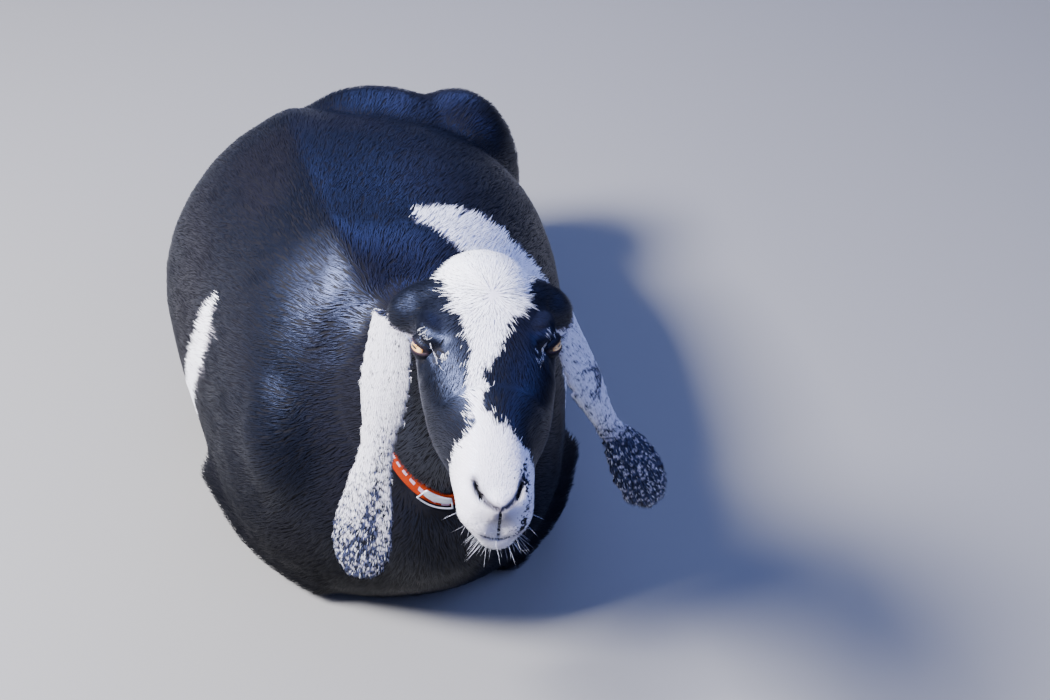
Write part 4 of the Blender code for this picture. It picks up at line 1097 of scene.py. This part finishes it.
def mix_colours(material, factor, first, second):
    """A mix of two colours, each an sRGB hex or another node's output."""
    node = add_node(material, "ShaderNodeMix", data_type="RGBA")
    sockets = [socket for socket in node.inputs if socket.type == "RGBA"]
    for socket, value in zip(sockets, (first, second)):
        if isinstance(value, str):
            socket.default_value = (*linear(value), 1.0)
        else:
            material.node_tree.links.new(value, socket)
    material.node_tree.links.new(factor, node.inputs["Factor"])
    return next(output for output in node.outputs if output.type == "RGBA")


def bump(material, shader, height, distance, strength):
    node = add_node(material, "ShaderNodeBump", Distance=distance, Strength=strength)
    material.node_tree.links.new(height, node.inputs["Height"])
    material.node_tree.links.new(node.outputs["Normal"], shader.inputs["Normal"])


def crisp_copy(name, node, levels):
    """The solid's own form, its long faces rounded finely and its edges kept."""
    bm = bmesh.new()
    bm.from_mesh(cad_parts[node].data)
    bmesh.ops.remove_doubles(bm, verts=bm.verts[:], dist=1e-6)
    bmesh.ops.join_triangles(bm, faces=bm.faces[:], angle_face_threshold=math.radians(35.0),
                             angle_shape_threshold=math.radians(60.0))
    crease = bm.edges.layers.float.new("crease_edge")
    for edge in bm.edges:
        if len(edge.link_faces) == 2 and edge.calc_face_angle(0.0) > math.radians(50.0):
            edge[crease] = 1.0
    mesh = bpy.data.meshes.new(name)
    bm.to_mesh(mesh)
    bm.free()
    mesh.shade_smooth()
    piece = bpy.data.objects.new(name, mesh)
    bpy.context.scene.collection.objects.link(piece)
    rounding = piece.modifiers.new("rounding", "SUBSURF")
    rounding.levels = levels
    rounding.render_levels = levels
    edging = piece.modifiers.new("edging", "BEVEL")
    edging.width = 0.0003
    edging.segments = 2
    edging.limit_method = "ANGLE"
    edging.angle_limit = math.radians(50.0)
    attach(piece, "root")
    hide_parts(node)
    return piece


strap = crisp_copy("collar_strap", "collar", 2)
strap_low, strap_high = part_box("collar")
strap_middle = (strap_low + strap_high) / 2
webbing, webbing_shader = plain_material("woven_nylon_webbing", "#a83000", 0.70)
webbing_shader.inputs["Specular IOR Level"].default_value = 0.15
link = webbing.node_tree.links.new
place = add_node(webbing, "ShaderNodeTexCoord")
# Turned so that Z is square to the loop and the strap runs round it
turned = add_node(webbing, "ShaderNodeMapping", vector_type="TEXTURE")
turned.inputs["Location"].default_value = strap_middle
turned.inputs["Rotation"].default_value = COLLAR_FACING.to_track_quat("Z", "Y").to_euler()
link(place.outputs["Object"], turned.inputs["Vector"])
parts = add_node(webbing, "ShaderNodeSeparateXYZ")
link(turned.outputs["Vector"], parts.inputs[0])
turn_round = math_node(webbing, "ARCTAN2", parts.outputs["Y"], parts.outputs["X"])
dash_turn = math_node(webbing, "SINE", math_node(webbing, "MULTIPLY", turn_round, DASHES_ROUND))
across = math_node(webbing, "ABSOLUTE", parts.outputs["Z"])
in_row = math_node(webbing, "LESS_THAN", across, DASH_HALF)
dash = math_node(webbing, "MULTIPLY", math_node(webbing, "GREATER_THAN", dash_turn, -0.25), in_row)
ribs = math_node(webbing, "SINE", math_node(webbing, "MULTIPLY", turn_round, 2.0 * math.pi * 0.075 / RIB))
warp = math_node(webbing, "SINE", math_node(webbing, "MULTIPLY", parts.outputs["Z"], 2.0 * math.pi / RIB))
weave = math_node(webbing, "MULTIPLY", ribs, warp)
wear = add_node(webbing, "ShaderNodeTexNoise", Scale=70.0, Detail=4.0)
link(place.outputs["Object"], wear.inputs["Vector"])
body_tone = mix_colours(webbing, wear.outputs["Fac"], "#a32a00", "#c24200")
weave_tone = mix_colours(webbing, math_node(webbing, "MULTIPLY_ADD", weave, 0.15), body_tone, "#701a00")
edge = math_node(webbing, "GREATER_THAN", across, STRAP_HALF * 0.86)
edged = mix_colours(webbing, math_node(webbing, "MULTIPLY", edge, 0.5), weave_tone, "#7a1e00")
link(mix_colours(webbing, math_node(webbing, "MULTIPLY", dash, 0.62), edged, "#d3c3e4"),
     webbing_shader.inputs["Base Color"])
bump(webbing, webbing_shader, math_node(webbing, "ADD", weave, dash), 0.0004, 0.5)
strap.data.materials.append(webbing)

# A pale brushed steel slide: a crowned plate over the upper part of the strap, and a thin
# frame round the lower part, where the strap shows.
steel, steel_shader = plain_material("brushed_steel", "#c9cdd6", 0.26, Metallic=1.0)
link = steel.node_tree.links.new
place = add_node(steel, "ShaderNodeTexCoord")
drawn = add_node(steel, "ShaderNodeMapping")
drawn.inputs["Scale"].default_value = (60.0, 900.0, 900.0)
brushing = add_node(steel, "ShaderNodeTexNoise", Scale=1.0, Detail=6.0)
link(place.outputs["Object"], drawn.inputs["Vector"])
link(drawn.outputs["Vector"], brushing.inputs["Vector"])
link(math_node(steel, "MULTIPLY_ADD", brushing.outputs["Fac"], 0.25), steel_shader.inputs["Roughness"])
link(mix_colours(steel, brushing.outputs["Fac"], "#aeb4c0", "#e6e9f0"), steel_shader.inputs["Base Color"])
bump(steel, steel_shader, brushing.outputs["Fac"], 0.0002, 0.25)

bm = bmesh.new()
bm.from_mesh(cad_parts["collar_plate"].data)
bmesh.ops.remove_doubles(bm, verts=bm.verts[:], dist=1e-6)
plate_corners = np.array(sorted(tuple(vert.co) for vert in bm.verts))
bm.free()
stations = []
for group in np.array_split(plate_corners, 3):
    group = group[np.argsort(group[:, 2])]
    pairs_here = [pair[np.argsort(-pair[:, 1])] for pair in (group[:2], group[2:])]
    stations.append(pairs_here)
STATIONS = np.array(stations)           # along, across, inner or outer


def slide_point(along, across, out):
    """A place on the slide, each of its three shares going from 0 to 1."""
    curve = np.array(((along - 0.5) * (along - 1.0) * 2.0, along * (1.0 - along) * 4.0,
                      along * (along - 0.5) * 2.0))
    section = np.tensordot(curve, STATIONS, 1)
    row = section[0] * (1.0 - across) + section[1] * across
    return row[0] * (1.0 - out) + row[1] * out


def add_tube(bm, line, radius, sides=10):
    """A closed round bar along a line of places."""
    line = np.array(line)
    ways = unit(np.gradient(line, axis=0))
    rings = []
    for middle, way_here in zip(line, ways):
        one = unit(np.cross(way_here, (0.0, 1.0, 0.0))[None])[0]
        two = np.cross(way_here, one)
        rings.append([bm.verts.new(middle + radius * (one * math.cos(angle) + two * math.sin(angle)))
                      for angle in np.linspace(0.0, 2.0 * math.pi, sides, endpoint=False)])
    for near_ring, far_ring in zip(rings, rings[1:]):
        for index in range(sides):
            after = (index + 1) % sides
            bm.faces.new((near_ring[index], near_ring[after], far_ring[after], far_ring[index]))
    bm.faces.new(rings[0][::-1])
    bm.faces.new(rings[-1])


bm = bmesh.new()
PLATE_STEPS, PLATE_ROWS = 20, 8
sheets = []
for out_low in (True, False):
    sheet = []
    for row in range(PLATE_ROWS + 1):
        line = []
        for step in range(PLATE_STEPS + 1):
            a, c = step / PLATE_STEPS * 2.0 - 1.0, row / PLATE_ROWS * 2.0 - 1.0
            rounded_a, rounded_c = a * math.sqrt(1.0 - c * c * 0.10), c * math.sqrt(1.0 - a * a * 0.30)
            crown = (1.0 - a ** 6) * (1.0 - c ** 4)
            out = 0.10 if out_low else 0.45 + 0.65 * crown
            line.append(bm.verts.new(slide_point(0.5 + 0.5 * rounded_a, 0.71 + 0.29 * rounded_c, out)))
        sheet.append(line)
    sheets.append(sheet)
for row in range(PLATE_ROWS):
    for step in range(PLATE_STEPS):
        for sheet in sheets:
            bm.faces.new((sheet[row][step], sheet[row][step + 1], sheet[row + 1][step + 1], sheet[row + 1][step]))
rims = [[sheet[0][step] for step in range(PLATE_STEPS + 1)]
        + [sheet[row][-1] for row in range(1, PLATE_ROWS + 1)]
        + [sheet[-1][step] for step in range(PLATE_STEPS - 1, -1, -1)]
        + [sheet[row][0] for row in range(PLATE_ROWS - 1, 0, -1)] for sheet in sheets]
for index in range(len(rims[0])):
    after = (index + 1) % len(rims[0])
    bm.faces.new((rims[0][index], rims[0][after], rims[1][after], rims[1][index]))
add_tube(bm, [slide_point(share, 0.05, 0.75) for share in np.linspace(0.0, 1.0, 16)], 0.0009)
for end in (0.02, 0.98):
    add_tube(bm, [slide_point(end, share, 0.75) for share in np.linspace(0.05, 0.62, 8)], 0.0009)
bmesh.ops.recalc_face_normals(bm, faces=bm.faces[:])
slide_mesh = bpy.data.meshes.new("collar_slide")
bm.to_mesh(slide_mesh)
bm.free()
slide_mesh.shade_smooth()
slide_mesh.materials.append(steel)
slide = bpy.data.objects.new("collar_slide", slide_mesh)
bpy.context.scene.collection.objects.link(slide)
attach(slide, "root")
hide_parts("collar_plate")

# -------------------------------------------------------------------- hooves
# Dark horn with fine growth ridges across it, chalky where it is worn.
horn, horn_shader = plain_material("ridged_hoof_horn", "#2b2520", 0.55)
link = horn.node_tree.links.new
place = add_node(horn, "ShaderNodeTexCoord")
ridges = add_node(horn, "ShaderNodeTexWave", Scale=110.0, Distortion=3.0, Detail=3.0, bands_direction="Y")
ridges.inputs["Detail Scale"].default_value = 2.0
mottle = add_node(horn, "ShaderNodeTexNoise", Scale=90.0, Detail=5.0)
for texture in (ridges, mottle):
    link(place.outputs["Object"], texture.inputs["Vector"])
ridge_tone = mix_colours(horn, ridges.outputs["Fac"], "#1d1916", "#3b332b")
link(mix_colours(horn, math_node(horn, "MULTIPLY", mottle.outputs["Fac"], 0.6), ridge_tone, "#5a5045"),
     horn_shader.inputs["Base Color"])
bump(horn, horn_shader, ridges.outputs["Fac"], 0.0006, 0.5)
for name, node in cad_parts.items():
    if "hoof" in name:
        node.data.materials.clear()
        node.data.materials.append(horn)
